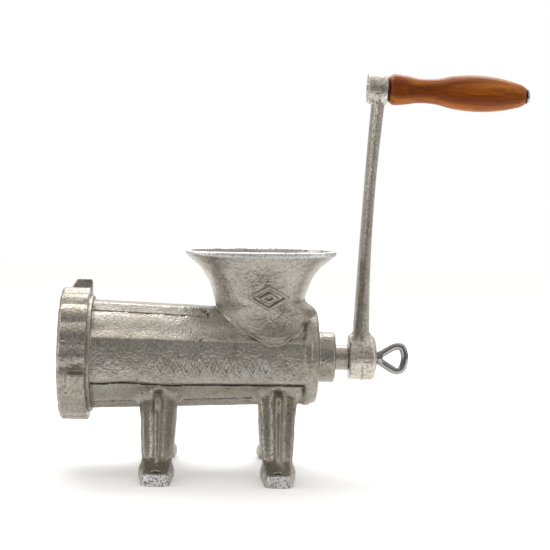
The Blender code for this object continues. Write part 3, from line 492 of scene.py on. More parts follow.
def auger(p):
    s, y, h = p.T
    r = np.hypot(y, h)
    lead = (FLIGHT_LAST - FLIGHT_FIRST) / FLIGHT_TURNS
    part = np.arctan2(h, y) / (2 * math.pi)
    turn = part + np.round((s - FLIGHT_FIRST) / lead - part)
    rim = BORE_FRONT - BORE_TAPER * (s - SEAT_END) - FLIGHT_CLEARANCE
    share = np.clip((r - FLIGHT_ROOT) / (rim - FLIGHT_ROOT), 0.0, 1.0)
    half = FLIGHT_ROOT_HALF + (FLIGHT_TIP_HALF - FLIGHT_ROOT_HALF) * share
    lean = 2 * math.pi * r / np.hypot(2 * math.pi * r, lead)
    sides = (abs(s - FLIGHT_FIRST - turn * lead) - half) * lean
    ends = between(turn, 0.0, FLIGHT_TURNS) * 2 * math.pi * r
    flight = common(common(sides, r - rim, 1.2), ends, 1.2)
    core = np.maximum(r - AUGER_CORE, between(s, AUGER_START, COLLAR_START))
    cone = (r - COLLAR_RADIUS - (s - COLLAR_START) * COLLAR_SLOPE) * COLLAR_LEAN
    disc = drum(s, r, DISC_START, COLLAR_END, COLLAR_RADIUS, 0.6)
    collar = common(np.maximum(cone, AUGER_START - s), disc, 0.6)
    made = joined(joined(core, collar, 1.0), flight, 3.5)
    made = np.minimum(made, drum(s, r, COLLAR_START, SHAFT_END, SHAFT_RADIUS, 0.5))
    across = common(abs(y) - SQUARE_HALF, abs(h) - SQUARE_HALF, 0.6)
    made = np.minimum(made, np.maximum(across, between(s, SHAFT_END - 10.0, SQUARE_END)))
    made = without(made, np.maximum(r - SCREW_HOLE, SCREW_HOLE_START - s), 0.3)
    return without(made, np.maximum(r - STUD_HOLE, s - STUD_HOLE_END), 0.3)


# --- From a distance function to a mesh ---

CHUNK = 300_000


def in_chunks(distance, points):
    parts = [
        distance(points[i : i + CHUNK].astype(np.float64))
        for i in range(0, len(points), CHUNK)
    ]
    return np.concatenate(parts)


def sample_grid(distance, low, high, step):
    """Distances on a grid. Only blocks near the surface are sampled in full."""
    block = 6
    low = np.array(low, float)
    blocks = np.ceil((np.array(high) - low) / (step * block)).astype(int) + 1
    axes = [low[i] + step * (np.arange(blocks[i]) * block + (block - 1) / 2) for i in range(3)]
    centres = np.stack(np.meshgrid(*axes, indexing="ij"), -1).reshape(-1, 3)
    coarse = in_chunks(distance, centres).reshape(blocks)
    reach = step * (block - 1) / 2 * math.sqrt(3)
    near = abs(coarse) < 1.5 * reach + 2 * step
    volume = coarse.astype(np.float32)
    for axis in range(3):
        volume = np.repeat(volume, block, axis)
        near = np.repeat(near, block, axis)
    where = np.argwhere(near)
    volume[near] = in_chunks(distance, low + step * where)
    return low, volume


def net_faces(inside, number):
    """A quad round each grid edge that crosses the surface, facing outwards."""
    quads = []
    for axis in range(3):
        u, v = (axis + 1) % 3, (axis + 2) % 3
        first = inside.take(range(inside.shape[axis] - 1), axis)
        second = inside.take(range(1, inside.shape[axis]), axis)
        edges = np.argwhere(first != second)
        edges = edges[(edges[:, u] > 0) & (edges[:, v] > 0)]
        edges = edges[
            (edges[:, u] < inside.shape[u] - 1) & (edges[:, v] < inside.shape[v] - 1)
        ]
        ring_of_cells = []
        for du, dv in ((1, 1), (0, 1), (0, 0), (1, 0)):
            cell = edges.copy()
            cell[:, u] -= du
            cell[:, v] -= dv
            ring_of_cells.append(number[tuple(cell.T)])
        quad = np.stack(ring_of_cells, 1)
        flip = ~first[tuple(edges.T)]
        quad[flip] = quad[flip][:, ::-1]
        quads.append(quad)
    return np.concatenate(quads)


def surface_net(distance, low, high, step):
    """Points and quads of the zero surface."""
    low, volume = sample_grid(distance, low, high, step)
    inside = volume < 0
    corners = [(i, j, k) for i in (0, 1) for j in (0, 1) for k in (0, 1)]
    nx, ny, nz = (n - 1 for n in volume.shape)
    total = sum(
        inside[i : nx + i, j : ny + j, k : nz + k].astype(np.uint8) for i, j, k in corners
    )
    active = (total > 0) & (total < 8)
    cells = np.argwhere(active)
    number = np.full(active.shape, -1, np.int32)
    number[active] = np.arange(len(cells))
    values = {c: volume[tuple((cells + c).T)] for c in corners}
    place = np.zeros((len(cells), 3))
    crossings = np.zeros(len(cells))
    for a in corners:
        for axis in range(3):
            if a[axis]:
                continue
            b = tuple(a[i] + (i == axis) for i in range(3))
            crosses = (values[a] < 0) != (values[b] < 0)
            span = np.where(crosses, values[a] - values[b], 1.0)
            share = np.where(crosses, values[a] / span, 0.0)
            for i in range(3):
                place[:, i] += crosses * (a[i] + (share if i == axis else 0.0))
            crossings += crosses
    points = low + step * (cells + place / crossings[:, None])
    return points, net_faces(inside, number)


def slopes(distance, points, reach=0.06):
    """The gradient of the distance at points."""
    result = np.empty_like(points)
    for axis in range(3):
        offset = np.zeros(3)
        offset[axis] = reach
        ahead = in_chunks(distance, points + offset)
        behind = in_chunks(distance, points - offset)
        result[:, axis] = (ahead - behind) / (2 * reach)
    return result


def drawn_to_surface(distance, points, step, rounds=2):
    for _ in range(rounds):
        gradient = slopes(distance, points)
        length = np.maximum((gradient**2).sum(1), 0.2)
        move = in_chunks(distance, points) / length
        points = points - np.clip(move, -step, step)[:, None] * gradient
    return points


def to_metres(points):
    return points * MM + np.array((FRONT_X, 0.0, AXIS_Z))


def to_millimetres(points):
    return (points - np.array((FRONT_X, 0.0, AXIS_Z))) / MM


def quad_mesh(name, points, quads):
    mesh = bpy.data.meshes.new(name)
    mesh.vertices.add(len(points))
    mesh.vertices.foreach_set("co", points.astype(np.float32).ravel())
    mesh.loops.add(quads.size)
    mesh.loops.foreach_set("vertex_index", quads.astype(np.int32).ravel())
    mesh.polygons.add(len(quads))
    mesh.polygons.foreach_set("loop_start", np.arange(0, quads.size, 4, dtype=np.int32))
    mesh.update(calc_edges=True)
    mesh.shade_smooth()
    return mesh


def placed(name, data):
    """A new object in the scene."""
    made = bpy.data.objects.new(name, data)
    bpy.context.scene.collection.objects.link(made)
    return made


def add_piece(name, mesh, body, slot, replaced=None, look=None):
    """A piece on its body. Its material is its slot's own unless another look is named."""
    piece = placed(name, mesh)
    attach(piece, body)
    if replaced:
        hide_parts(replaced)
    dress(piece, look or slot)


def thinned(mesh, share):
    """The mesh with fewer faces, the most where it is flat."""
    holder = placed("thinning", mesh)
    modifier = holder.modifiers.new("thin", "DECIMATE")
    modifier.ratio = share
    graph = bpy.context.evaluated_depsgraph_get()
    made = bpy.data.meshes.new_from_object(holder.evaluated_get(graph))
    made.name = mesh.name
    bpy.data.objects.remove(holder)
    bpy.data.meshes.remove(mesh)
    return made


def hollowness(distance, points, normals, reach):
    """How much of the space in front of each point is filled: 0 in the open, 1 in a deep corner."""
    return np.clip(1.0 - in_chunks(distance, points + normals * reach) / reach, 0.0, 1.0)


def cast_mesh(name, distance, low, high, step, share=None):
    """The mesh of a distance function with true normals and how hollow each place is."""
    points, quads = surface_net(distance, low, high, step)
    points = drawn_to_surface(distance, points, step)
    mesh = quad_mesh(name, to_metres(points), quads)
    if share:
        mesh = thinned(mesh, share)
        flat = np.empty(len(mesh.vertices) * 3, np.float32)
        mesh.vertices.foreach_get("co", flat)
        points = to_millimetres(flat.reshape(-1, 3).astype(float))
        points = drawn_to_surface(distance, points, step / 4, 1)
        mesh.vertices.foreach_set("co", to_metres(points).astype(np.float32).ravel())
    normals = slopes(distance, points)
    normals /= np.maximum(np.linalg.norm(normals, axis=1), 1e-6)[:, None]
    # The iron's material uses these two measures to darken its colour as painted shade in corners and crevices.
    for label, reach in (("hollow", 4.0), ("nook_shade", 1.5)):
        values = mesh.attributes.new(label, "FLOAT", "POINT")
        filled = hollowness(distance, points, normals, reach)
        values.data.foreach_set("value", filled.astype(np.float32))
    mesh.shade_smooth()
    mesh.normals_split_custom_set_from_vertices(normals.tolist())
    return mesh


# --- Materials ---


class Tree:
    """The nodes of a new material, or of a given world, added one line at a time."""

    def __init__(self, name, world=None):
        self.material = world or bpy.data.materials.new(name)
        self.material.use_nodes = True
        self.tree = self.material.node_tree
        self.shader = self.tree.nodes["Background" if world else "Principled BSDF"]

    def node(self, kind, inputs=(), **settings):
        made = self.tree.nodes.new("ShaderNode" + kind)
        for key, value in settings.items():
            setattr(made, key, value)
        for key, value in dict(inputs).items():
            self.put(made.inputs[key], value)
        return made

    def put(self, socket, value):
        if isinstance(value, bpy.types.NodeSocket):
            self.tree.links.new(value, socket)
        else:
            socket.default_value = value

    def sockets(self, **values):
        for key, value in values.items():
            self.put(self.shader.inputs[key.replace("_", " ")], value)

    def finished(self, base, rough, normal, metallic=1.0):
        self.sockets(Base_Color=base, Metallic=metallic, Roughness=rough, Normal=normal)
        return self.material

    def place(self):
        return self.node("TexCoord").outputs["Object"]

    def stretched(self, place, scale):
        return self.node("Mapping", {"Vector": place, "Scale": scale}).outputs["Vector"]

    def noise(self, place, scale, detail=2.0, roughness=0.5, distortion=0.0):
        inputs = {"Vector": place, "Scale": scale, "Detail": detail, "Roughness": roughness}
        return self.node("TexNoise", {**inputs, "Distortion": distortion}).outputs["Fac"]

    def span(self, value, low, high, to_low=0.0, to_high=1.0):
        """The value, scaled from one span to another and kept within it."""
        inputs = {"Value": value, "From Min": low, "From Max": high}
        inputs.update({"To Min": to_low, "To Max": to_high})
        return self.node("MapRange", inputs).outputs["Result"]

    def maths(self, operation, a, b=0.0):
        made = self.node("Math", operation=operation)
        self.put(made.inputs[0], a)
        self.put(made.inputs[1], b)
        return made.outputs[0]

    def blend(self, share, a, b):
        made = self.node("Mix", data_type="RGBA")
        self.put(made.inputs[0], share)
        self.put(made.inputs[6], a)
        self.put(made.inputs[7], b)
        return made.outputs[2]

    def ramp(self, value, stops, interpolation="LINEAR"):
        made = self.node("ValToRGB", {"Fac": value})
        made.color_ramp.interpolation = interpolation
        elements = made.color_ramp.elements
        while len(elements) < len(stops):
            elements.new(1.0)
        for element, (position, colour) in zip(elements, stops):
            element.position = position
            element.color = (*colour, 1.0)
        return made.outputs["Color"]

    def attribute(self, name):
        return self.node("Attribute", attribute_name=name).outputs["Fac"]

    def bump(self, height, distance, below=None):
        inputs = {"Height": height, "Distance": distance, "Strength": 1.0}
        made = self.node("Bump", inputs)
        if below:
            self.put(made.inputs["Normal"], below)
        return made.outputs["Normal"]


def grey(value, warmth=0.0):
    """A grey, browner with more warmth."""
    return (value * (1 + warmth), value, value * (1 - 1.6 * warmth), 1.0)


def tinned_iron(name, tone=0.46, valley_darkness=0.5, housing_wear_and_shade=False):
    """Hot-tinned sand casting: strong orange peel, small pits, brown stains, darker low places in the peel, and
    painted shade in corners and crevices.
    """
    t = Tree(name)
    place = t.place()
    waves = t.noise(place, 110.0, 1.0, 0.5)
    peel = t.noise(place, 550.0, 1.0, 0.45)
    grain = t.noise(place, 900.0, 2.0, 0.6)
    pit_field = t.noise(place, 380.0, 1.0, 0.5)
    crowding = t.span(t.noise(place, 38.0, 2.0, 0.5), 0.4, 0.7, -0.02, 0.085)
    pits = t.span(t.maths("SUBTRACT", pit_field, crowding), 0.245, 0.2)
    patches = t.noise(place, 22.0, 4.0, 0.6)
    blotches = t.noise(place, 75.0, 4.0, 0.6)
    patchy = t.span(patches, 0.35, 0.68)
    base = t.blend(patchy, grey(tone * 0.88, 0.08), grey(tone * 1.1, 0.04))
    stains = t.span(blotches, 0.48, 0.74, 0.0, 0.6)
    stained = t.blend(stains, base, grey(tone * 0.68, 0.13))
    relief = t.maths("MULTIPLY", peel, t.maths("ADD", grain, 0.5))
    # Darker in the low places of the peel relief.
    valleys = t.span(relief, 0.62, 0.32, 0.0, valley_darkness)
    marked_colour = t.blend(valleys, stained, grey(tone * 0.45, 0.12))
    rough = t.span(blotches, 0.3, 0.7, 0.29, 0.39)
    if housing_wear_and_shade:
        rim, toe, dull = worn_and_shaded_places(t, place, blotches)
        worn = t.maths("MAXIMUM", rim, toe)
        # dull: painted shade under the barrel, and a darker rear end.
        marked_colour = t.blend(dull, marked_colour, grey(tone * 0.3, 0.16))
        marked_colour = t.blend(worn, marked_colour, grey(0.78))
        chips = t.maths("MULTIPLY", rim, t.span(peel, 0.40, 0.30, 0.0, 0.75))
        flecks = t.maths("MULTIPLY", toe, t.span(peel, 0.47, 0.40, 0.0, 0.95))
        chips = t.maths("MAXIMUM", chips, flecks)
        pits = t.maths("MAXIMUM", pits, chips)
        rough = t.maths("ADD", rough, t.span(worn, 0.0, 1.0, 0.0, 0.08))
    speckled = t.blend(t.span(pits, 0.0, 1.0, 0.0, 0.85), marked_colour, grey(0.05, 0.15))
    # Painted shade: darker in corners and fillets, and nearly black in narrow creases and crevices.
    corner = t.span(t.attribute("hollow"), 0.2, 0.8, 0.0, 0.75)
    nook_shade = t.span(t.attribute("nook_shade"), 0.2, 0.7, 0.0, 0.85)
    shaded = t.blend(corner, speckled, grey(tone * 0.3, 0.2))
    shaded = t.blend(nook_shade, shaded, grey(0.04, 0.2))
    rough = t.maths("ADD", rough, t.span(corner, 0.0, 0.7, 0.0, 0.2))
    normal = t.bump(waves, 0.0003)
    normal = t.bump(peel, 0.00045, normal)
    normal = t.bump(grain, 0.00016, normal)
    normal = t.bump(pits, -0.0004, normal)
    return t.finished(shaded, rough, normal, 0.92)


# Zones of the housing in metres: where each starts and where it is in full.
RIM_HEIGHT, TOE_OUT, TOE_HEIGHT = (0.1745, 0.1775), (0.073, 0.0785), (0.0135, 0.0085)
# Below the first of these heights the colour holds painted shade under the barrel, easing off toward the sole; the
# rear end is darker.
UNDER_SHADE_HEIGHT, SOLE_HEIGHT, REAR_ALONG = (0.078, 0.054), (0.008, 0.035), (0.010, 0.017)


def worn_and_shaded_places(t, place, blotches):
    """Where the rim and the toes are worn bright, where painted shade falls under the barrel, and where the rear
    end is darker.
    """
    split = t.node("SeparateXYZ", {"Vector": place})
    along, height = split.outputs["X"], split.outputs["Z"]
    out = t.maths("ABSOLUTE", split.outputs["Y"])
    rim = t.span(height, *RIM_HEIGHT)
    toe = t.maths("MULTIPLY", t.span(out, *TOE_OUT), t.span(height, *TOE_HEIGHT))
    toe = t.maths("MULTIPLY", toe, t.span(blotches, 0.42, 0.56, 0.25, 0.9))
    under = t.span(height, *UNDER_SHADE_HEIGHT, 0.0, 0.42)
    under = t.maths("MULTIPLY", under, t.span(height, *SOLE_HEIGHT, 0.3, 1.0))
    rear = t.span(along, *REAR_ALONG, 0.0, 0.25)
    return rim, toe, t.maths("MAXIMUM", under, rear)


def ground_steel(name):
    """Ground steel with fine scratches that go round the barrel's axis."""
    t = Tree(name)
    place = t.place()
    around = t.stretched(place, (60.0, 900.0, 900.0))
    scratches = t.noise(around, 1.0, 3.0, 0.7)
    stains = t.noise(place, 60.0, 4.0, 0.6)
    base = t.blend(t.span(stains, 0.35, 0.7), grey(0.5, 0.01), grey(0.36, 0.03))
    rough = t.span(scratches, 0.3, 0.7, 0.25, 0.45)
    normal = t.bump(scratches, 0.00005)
    return t.finished(base, rough, normal)


def bright_steel(name):
    """Bright plating with faint waviness, fine marks and a little dulling."""
    t = Tree(name)
    place = t.place()
    waviness = t.noise(place, 260.0, 2.0, 0.5)
    dull = t.noise(place, 500.0, 3.0, 0.6)
    base = t.blend(t.span(dull, 0.4, 0.7), grey(0.38, 0.0), grey(0.3, 0.02))
    rough = t.span(dull, 0.3, 0.75, 0.05, 0.16)
    normal = t.bump(waviness, 0.00012)
    return t.finished(base, rough, normal)


def dark_steel(name):
    t = Tree(name)
    place = t.place()
    stains = t.noise(place, 300.0, 4.0, 0.6)
    base = t.blend(t.span(stains, 0.35, 0.7), grey(0.045, 0.05), grey(0.12, 0.1))
    rough = t.span(stains, 0.3, 0.7, 0.35, 0.6)
    return t.finished(base, rough, t.bump(stains, 0.0001), 0.9)


def bronze(name):
    t = Tree(name)
    place = t.place()
    turned_marks = t.noise(t.stretched(place, (1500.0, 200.0, 200.0)), 1.0, 2.0, 0.5)
    stains = t.noise(place, 200.0, 3.0, 0.6)
    clean, tarnished = (0.60, 0.38, 0.16, 1.0), (0.36, 0.2, 0.08, 1.0)
    base = t.blend(t.span(stains, 0.35, 0.7), clean, tarnished)
    rough = t.span(stains, 0.3, 0.7, 0.28, 0.45)
    normal = t.bump(turned_marks, 0.00004)
    return t.finished(base, rough, normal)


def fibre(name):
    t = Tree(name)
    threads = t.noise(t.place(), 1200.0, 4.0, 0.7)
    pale, dark = (0.82, 0.79, 0.71, 1.0), (0.66, 0.62, 0.52, 1.0)
    base = t.blend(t.span(threads, 0.3, 0.7), pale, dark)
    rough = t.span(threads, 0.3, 0.7, 0.5, 0.75)
    return t.finished(base, rough, t.bump(threads, 0.00008), 0.0)


def varnished_wood(name):
    """Turned wood under a clear varnish: long figure, fine pores and faint rings from the lathe."""
    t = Tree(name)
    place = t.place()
    figure = t.noise(t.stretched(place, (9.0, 75.0, 75.0)), 1.0, 4.0, 0.55, 0.6)
    streaks = t.noise(t.stretched(place, (22.0, 420.0, 420.0)), 1.0, 3.0, 0.6)
    pores = t.noise(t.stretched(place, (160.0, 2200.0, 2200.0)), 1.0, 2.0, 0.5)
    rings = t.noise(t.stretched(place, (1500.0, 12.0, 12.0)), 1.0, 2.0, 0.6)
    base = t.ramp(
        figure,
        (
            (0.28, (0.13, 0.024, 0.002)),
            (0.45, (0.29, 0.064, 0.005)),
            (0.58, (0.50, 0.140, 0.012)),
            (0.75, (0.74, 0.260, 0.035)),
        ),
    )
    lined = t.blend(t.span(streaks, 0.48, 0.72, 0.0, 0.6), base, (0.09, 0.018, 0.003, 1.0))
    pored = t.blend(t.span(pores, 0.62, 0.72, 0.0, 0.7), lined, (0.04, 0.010, 0.002, 1.0))
    normal = t.bump(streaks, 0.00006)
    normal = t.bump(rings, 0.00006, normal)
    t.sockets(
        Base_Color=pored,
        Roughness=t.span(streaks, 0.3, 0.7, 0.34, 0.5),
        Normal=normal,
        Coat_Weight=0.06,
        Coat_Roughness=0.15,
        Specular_IOR_Level=0.18,
    )
    return t.material


def floor_material():
    """Nearly white, with a faint glow so that it runs into the white behind it."""
    t = Tree("pale_floor")
    tone = t.noise(t.place(), 3.0, 2.0, 0.5)
    base = t.blend(tone, grey(0.92), grey(0.95))
    t.sockets(Base_Color=base, Roughness=0.85, Specular_IOR_Level=0.1)
    t.sockets(Emission_Color=grey(1.0), Emission_Strength=0.17)
    return t.material


SIMPLE_LOOKS = {
    "tinned_iron": tinned_iron,
    "tool_steel": ground_steel,
    "bright_steel": bright_steel,
    "dark_steel": dark_steel,
    "bronze": bronze,
    "fibre": fibre,
    "varnished_wood": varnished_wood,
}
MATERIALS = {slot: make(slot + "_look") for slot, make in SIMPLE_LOOKS.items()}
MATERIALS["housing_iron"] = tinned_iron("housing_iron_look", housing_wear_and_shade=True)
MATERIALS["ring_iron"] = tinned_iron("ring_iron_look", 0.42, 0.75)
MATERIALS["crank_iron"] = tinned_iron("crank_iron_look", 0.70, 0.8)


def dress(piece, look):
    piece.data.materials.clear()
    piece.data.materials.append(MATERIALS[look])


# --- Pieces ---


def lathe_mesh(name, profile, sides, placing, closed=False):
    """A body of revolution, placed by a matrix. The profile is (distance along its axis, radius)."""
    profile = np.array(profile, float) * MM
    turn = 2 * math.pi * np.arange(sides) / sides
    rows = len(profile)
    points = np.empty((rows, sides, 3))
    points[..., 0] = profile[:, 0][:, None]
    points[..., 1] = profile[:, 1][:, None] * np.cos(turn)
    points[..., 2] = profile[:, 1][:, None] * np.sin(turn)
    number = np.arange(rows * sides).reshape(rows, sides)
    following = np.roll(number, -1, 1)
    last = rows if closed else rows - 1
    ahead = np.roll(number, -1, 0)
    ahead_following = np.roll(following, -1, 0)
    quads = np.stack((number, ahead, ahead_following, following), -1)[:last].reshape(-1, 4)
    matrix = np.array(placing)
    flat = points.reshape(-1, 3) @ matrix[:3, :3].T + matrix[:3, 3]
    return quad_mesh(name, flat, quads)


def handle_placing():
    """The grip's axis as X, from the middle of the crank's boss."""
    joint = JOINTS["grip_spin"]
    turn = Vector((1.0, 0.0, 0.0)).rotation_difference(Vector(joint["axis"]))
    return Matrix.Translation(joint["pos_m"]) @ turn.to_matrix().to_4x4()


GRIP_SPAN, GRIP_BORE, GRIP_SIDES, ROD_SIDES = (9.7, 120.4), 4.5, 72, 48
# Grip outline: share of its length, radius.
GRIP = smooth_rows(
    (
        (0.000, 10.3), (0.018, 11.9), (0.075, 12.3), (0.130, 11.5), (0.200, 10.1),
        (0.280, 9.8), (0.360, 10.6), (0.450, 12.9), (0.540, 14.2), (0.630, 14.7),
        (0.730, 14.3), (0.830, 12.8), (0.920, 10.5), (0.975, 8.6), (1.000, 7.0),
    ),
    160,
)


def make_grip():
    start, end = GRIP_SPAN
    outside = [(start + share * (end - start), radius) for share, radius in GRIP]
    bore = [(end, GRIP_BORE), (start, GRIP_BORE)]
    mesh = lathe_mesh("handle_grip_turned", outside + bore, GRIP_SIDES, handle_placing(), True)
    add_piece("handle_grip_turned", mesh, "grip", "varnished_wood", "handle_grip")


ROD_START, ROD_RADIUS, HEAD_START, HEAD_RADIUS, HEAD_HEIGHT = -8.4, 4.0, 121.8, 6.3, 2.5


def make_spindle():
    """A round rod with a low domed head."""
    dome = [
        (HEAD_START + HEAD_HEIGHT * math.sin(a), HEAD_RADIUS * math.cos(a) ** 0.8)
        for a in np.linspace(0.0, math.pi / 2 - 1e-3, 12)
    ]
    rod = [(ROD_START, 0.01), (ROD_START, ROD_RADIUS), (HEAD_START, ROD_RADIUS)]
    profile = rod + [(HEAD_START, HEAD_RADIUS - 0.3)] + dome
    mesh = lathe_mesh("handle_spindle_turned", profile, ROD_SIDES, handle_placing())
    add_piece("handle_spindle_turned", mesh, "rotor", "bright_steel", "handle_spindle")


# Washers: node, start and end along the spindle, radius.
WASHERS = (("inner_washer", 8.2, 9.4, 9.5), ("outer_washer", 120.7, 121.5, 5.8))
WASHER_HOLE = 4.4


def make_washers():
    edge = 0.25
    for node, start, end, outer in WASHERS:
        profile = [
            (start, WASHER_HOLE),
            (start, outer - edge),
            (start + edge, outer),
            (end - edge, outer),
            (end, outer - edge),
            (end, WASHER_HOLE),
        ]
        mesh = lathe_mesh(node + "_turned", profile, ROD_SIDES, handle_placing(), True)
        add_piece(node + "_turned", mesh, "rotor", "dark_steel", node)


# Grinding plate: radius, faces, bore, and holes on a triangular grid between two circles.
PLATE_RADIUS, PLATE_START, PLATE_END, PLATE_BORE = 41.0, 5.3, 13.3, 7.0
HOLE_RADIUS, HOLE_PITCH, HOLES_FROM, HOLES_TO = 2.4, 7.0, 12.2, 33.6
NOTCH_HALF, NOTCH_FLOOR = 1.9, 38.6
RIM_SIDES, BORE_SIDES, HOLE_SIDES = 140, 40, 16


def circle_points(y, h, radius, sides):
    turn = 2 * math.pi * np.arange(sides) / sides
    return np.stack([y + radius * np.cos(turn), h + radius * np.sin(turn)], axis=1)


def plate_rim(inset):
    """The plate's round outline with its key notch, drawn in by a small amount."""
    radius, half, floor = PLATE_RADIUS - inset, NOTCH_HALF + inset, NOTCH_FLOOR - inset
    edge = math.asin(half / radius)
    turn = np.linspace(math.pi / 2 + edge, 2.5 * math.pi - edge, RIM_SIDES)
    round_part = np.stack([radius * np.cos(turn), radius * np.sin(turn)], axis=1)
    return np.vstack([round_part, [(half, floor), (-half, floor)]])


def hole_centres():
    row_height = HOLE_PITCH * math.sqrt(3) / 2
    reach = math.ceil(HOLES_TO / row_height)
    centres = []
    for row in range(-reach, reach + 1):
        for place in range(-reach - 1, reach + 2):
            y, h = (place + (row % 2) / 2) * HOLE_PITCH, row * row_height
            if HOLES_FROM <= math.hypot(y, h) <= HOLES_TO:
                centres.append((y, h))
    return centres


def plate_loops(inset):
    """Rim, bore and holes as closed loops, each drawn a little into the metal."""
    loops = [plate_rim(inset), circle_points(0.0, 0.0, PLATE_BORE + inset, BORE_SIDES)]
    radius = HOLE_RADIUS + inset
    return loops + [circle_points(y, h, radius, HOLE_SIDES) for y, h in hole_centres()]


def cap_triangles(loops):
    """Triangles of the plate's face, with none in the holes."""
    flat = np.vstack(loops)
    edges, start = [], 0
    for loop in loops:
        count = len(loop)
        edges += [(start + i, start + (i + 1) % count) for i in range(count)]
        start += count
    corners = [Vector(point) for point in flat]
    _, _, faces, _, _, _ = geometry.delaunay_2d_cdt(corners, edges, [], 0, 1e-5)
    centres = np.array(hole_centres())
    kept = []
    for face in faces:
        middle = flat[list(face)].mean(axis=0)
        in_hole = np.hypot(*(centres - middle).T).min() < HOLE_RADIUS
        in_notch = abs(middle[0]) < NOTCH_HALF and middle[1] > NOTCH_FLOOR - 0.3
        if not (in_hole or in_notch or np.hypot(*middle) < PLATE_BORE):
            kept.append(face)
    return kept


def make_plate():
    """The grinding plate with round holes and a small bevel on every edge."""
    bevel, soft = 0.3, 0.09
    layers = (
        (PLATE_START, bevel),
        (PLATE_START + soft, soft),
        (PLATE_START + bevel, 0.0),
        (PLATE_END - bevel, 0.0),
        (PLATE_END - soft, soft),
        (PLATE_END, bevel),
    )
    stacked = [plate_loops(inset) for _, inset in layers]
    size = sum(len(loop) for loop in stacked[0])
    points = []
    for (station, _), loops in zip(layers, stacked):
        points += [(station, y, h) for y, h in np.vstack(loops)]
    front = cap_triangles(stacked[0])
    faces = [tuple(face) for face in front]
    back = size * (len(layers) - 1)
    faces += [tuple(back + corner for corner in reversed(face)) for face in front]
    for layer in range(len(layers) - 1):
        start = layer * size
        for loop in stacked[0]:
            count = len(loop)
            for i in range(count):
                a, b = start + i, start + (i + 1) % count
                faces.append((a, b, b + size, a + size))
            start += count
    mesh = bpy.data.meshes.new("grinder_plate_drilled")
    mesh.from_pydata(to_metres(np.array(points)).tolist(), [], faces)
    tidy = bmesh.new()
    tidy.from_mesh(mesh)
    bmesh.ops.recalc_face_normals(tidy, faces=tidy.faces)
    tidy.to_mesh(mesh)
    tidy.free()
    mesh.shade_smooth()
    mesh.set_sharp_from_angle(angle=math.radians(40.0))
    add_piece("grinder_plate_drilled", mesh, "plate", "tool_steel", "grinder_plate")


# Thumb screw: half of the eye's outline as (station, height), the wire, the shank and its neck.
EYE = (
    (259.2, 3.2), (262.2, 5.1), (266.2, 7.7), (270.4, 9.8),
    (274.0, 10.0), (277.3, 7.5), (278.9, 0.0),
)
WIRE_RADIUS, SHANK_RADIUS, SHANK_SPAN, NECK_SPAN = 3.15, 4.0, (238.0, 256.5), (255.5, 260.4)
SCREW_PITCH, SCREW_DEPTH = 1.25, 0.55


def eye_path():
    """The bent wire's middle line, from one end of the neck round to the other."""
    half = [Vector(point) for point in EYE]
    points = half + [Vector((x, -z)) for x, z in EYE[-2::-1]]
    made = []
    for i in range(len(points) - 1):
        p0, p1, p2, p3 = (points[min(max(i + k, 0), len(points) - 1)] for k in (-1, 0, 1, 2))
        for t in np.arange(0.0, 1.0, 0.25):
            square, cube = 2 * p0 - 5 * p1 + 4 * p2 - p3, 3 * p1 - p0 - 3 * p2 + p3
            made.append(tuple((2 * p1 + (p2 - p0) * t + square * t**2 + cube * t**3) / 2))
    return made + [tuple(points[-1])]


EYE_PATH = eye_path()


def thumb_screw(p):
    s, y, h = p.T
    r = np.hypot(y, h)
    wire = np.hypot(path_distance(s, h, EYE_PATH), y) - WIRE_RADIUS
    turn = np.arctan2(h, y) / (2 * math.pi)
    thread = SCREW_DEPTH * abs(2 * ((s / SCREW_PITCH - turn) % 1.0) - 1.0)
    shank = np.maximum(r - SHANK_RADIUS + thread, between(s, *SHANK_SPAN)) * 0.75
    neck = common(r - SHANK_RADIUS, between(s, *NECK_SPAN), 1.6)
    return joined(joined(wire, neck, 1.6), shank, 0.2)


def make_castings():
    """Each call gives the mesh's name, its shape, a box round it, the grid's step and the share kept."""
    mesh = cast_mesh("housing_cast", housing, (7, -82, GROUND - 2), (223, 82, 90), 1.0, 0.4)
    add_piece("housing_cast", mesh, "housing", "tinned_iron", "housing", "housing_iron")
    for name, shape, low, high, step in (
        ("hopper_ornament", hopper_mark, (146, -50, 38), (185, -30, 63), 0.5),
        ("barrel_ornament", barrel_mark, (74, -46, -15), (172, -34, 4), 0.5),
        ("hopper_bead", hopper_bead, (122, -42, 10), (204, 42, 42), 0.8),
        ("barrel_thread", barrel_thread, (8, -47, -47), (22, 47, 47), 0.55),
    ):
        mesh = cast_mesh(name, shape, low, high, step)
        add_piece(name, mesh, "housing", "tinned_iron", look="housing_iron")
    mesh = cast_mesh("auger_cast", auger, (22, -37, -37), (252, 37, 37), 0.9, 0.6)
    add_piece("auger_cast", mesh, "rotor", "tinned_iron", "auger")
    mesh = cast_mesh("ring_nut_cast", ring, (-2, -63, -63), (25, 63, 63), 0.9)
    add_piece("ring_nut_cast", mesh, "ring", "tinned_iron", "ring_nut", "ring_iron")
    mesh = cast_mesh("crank_arm_cast", crank_arm, (229, -21, -21), (262, 21, 234), 0.8)
    add_piece("crank_arm_cast", mesh, "rotor", "tinned_iron", "crank_arm", "crank_iron")
    mesh = cast_mesh("thumb_screw_bent", thumb_screw, (236, -5, -14), (283, 5, 14), 0.35)
    add_piece("thumb_screw_bent", mesh, "thumb_screw", "bright_steel", "thumb_screw")


def dress_frame():
    """CAD nodes whose shape is right keep it and get a better material."""
    for subpart in frame["record"]["subparts"]:
        dress(frame["nodes"][subpart["node"]], subpart["material_slot"])


# --- Stage ---

CAMERA_PLACE = (-0.0671, -1.2318, 0.2315)
CAMERA_YAW, CAMERA_PITCH, CAMERA_ROLL = map(math.radians, (2.364, -3.347, 1.285))
CAMERA_LENS = 99.44
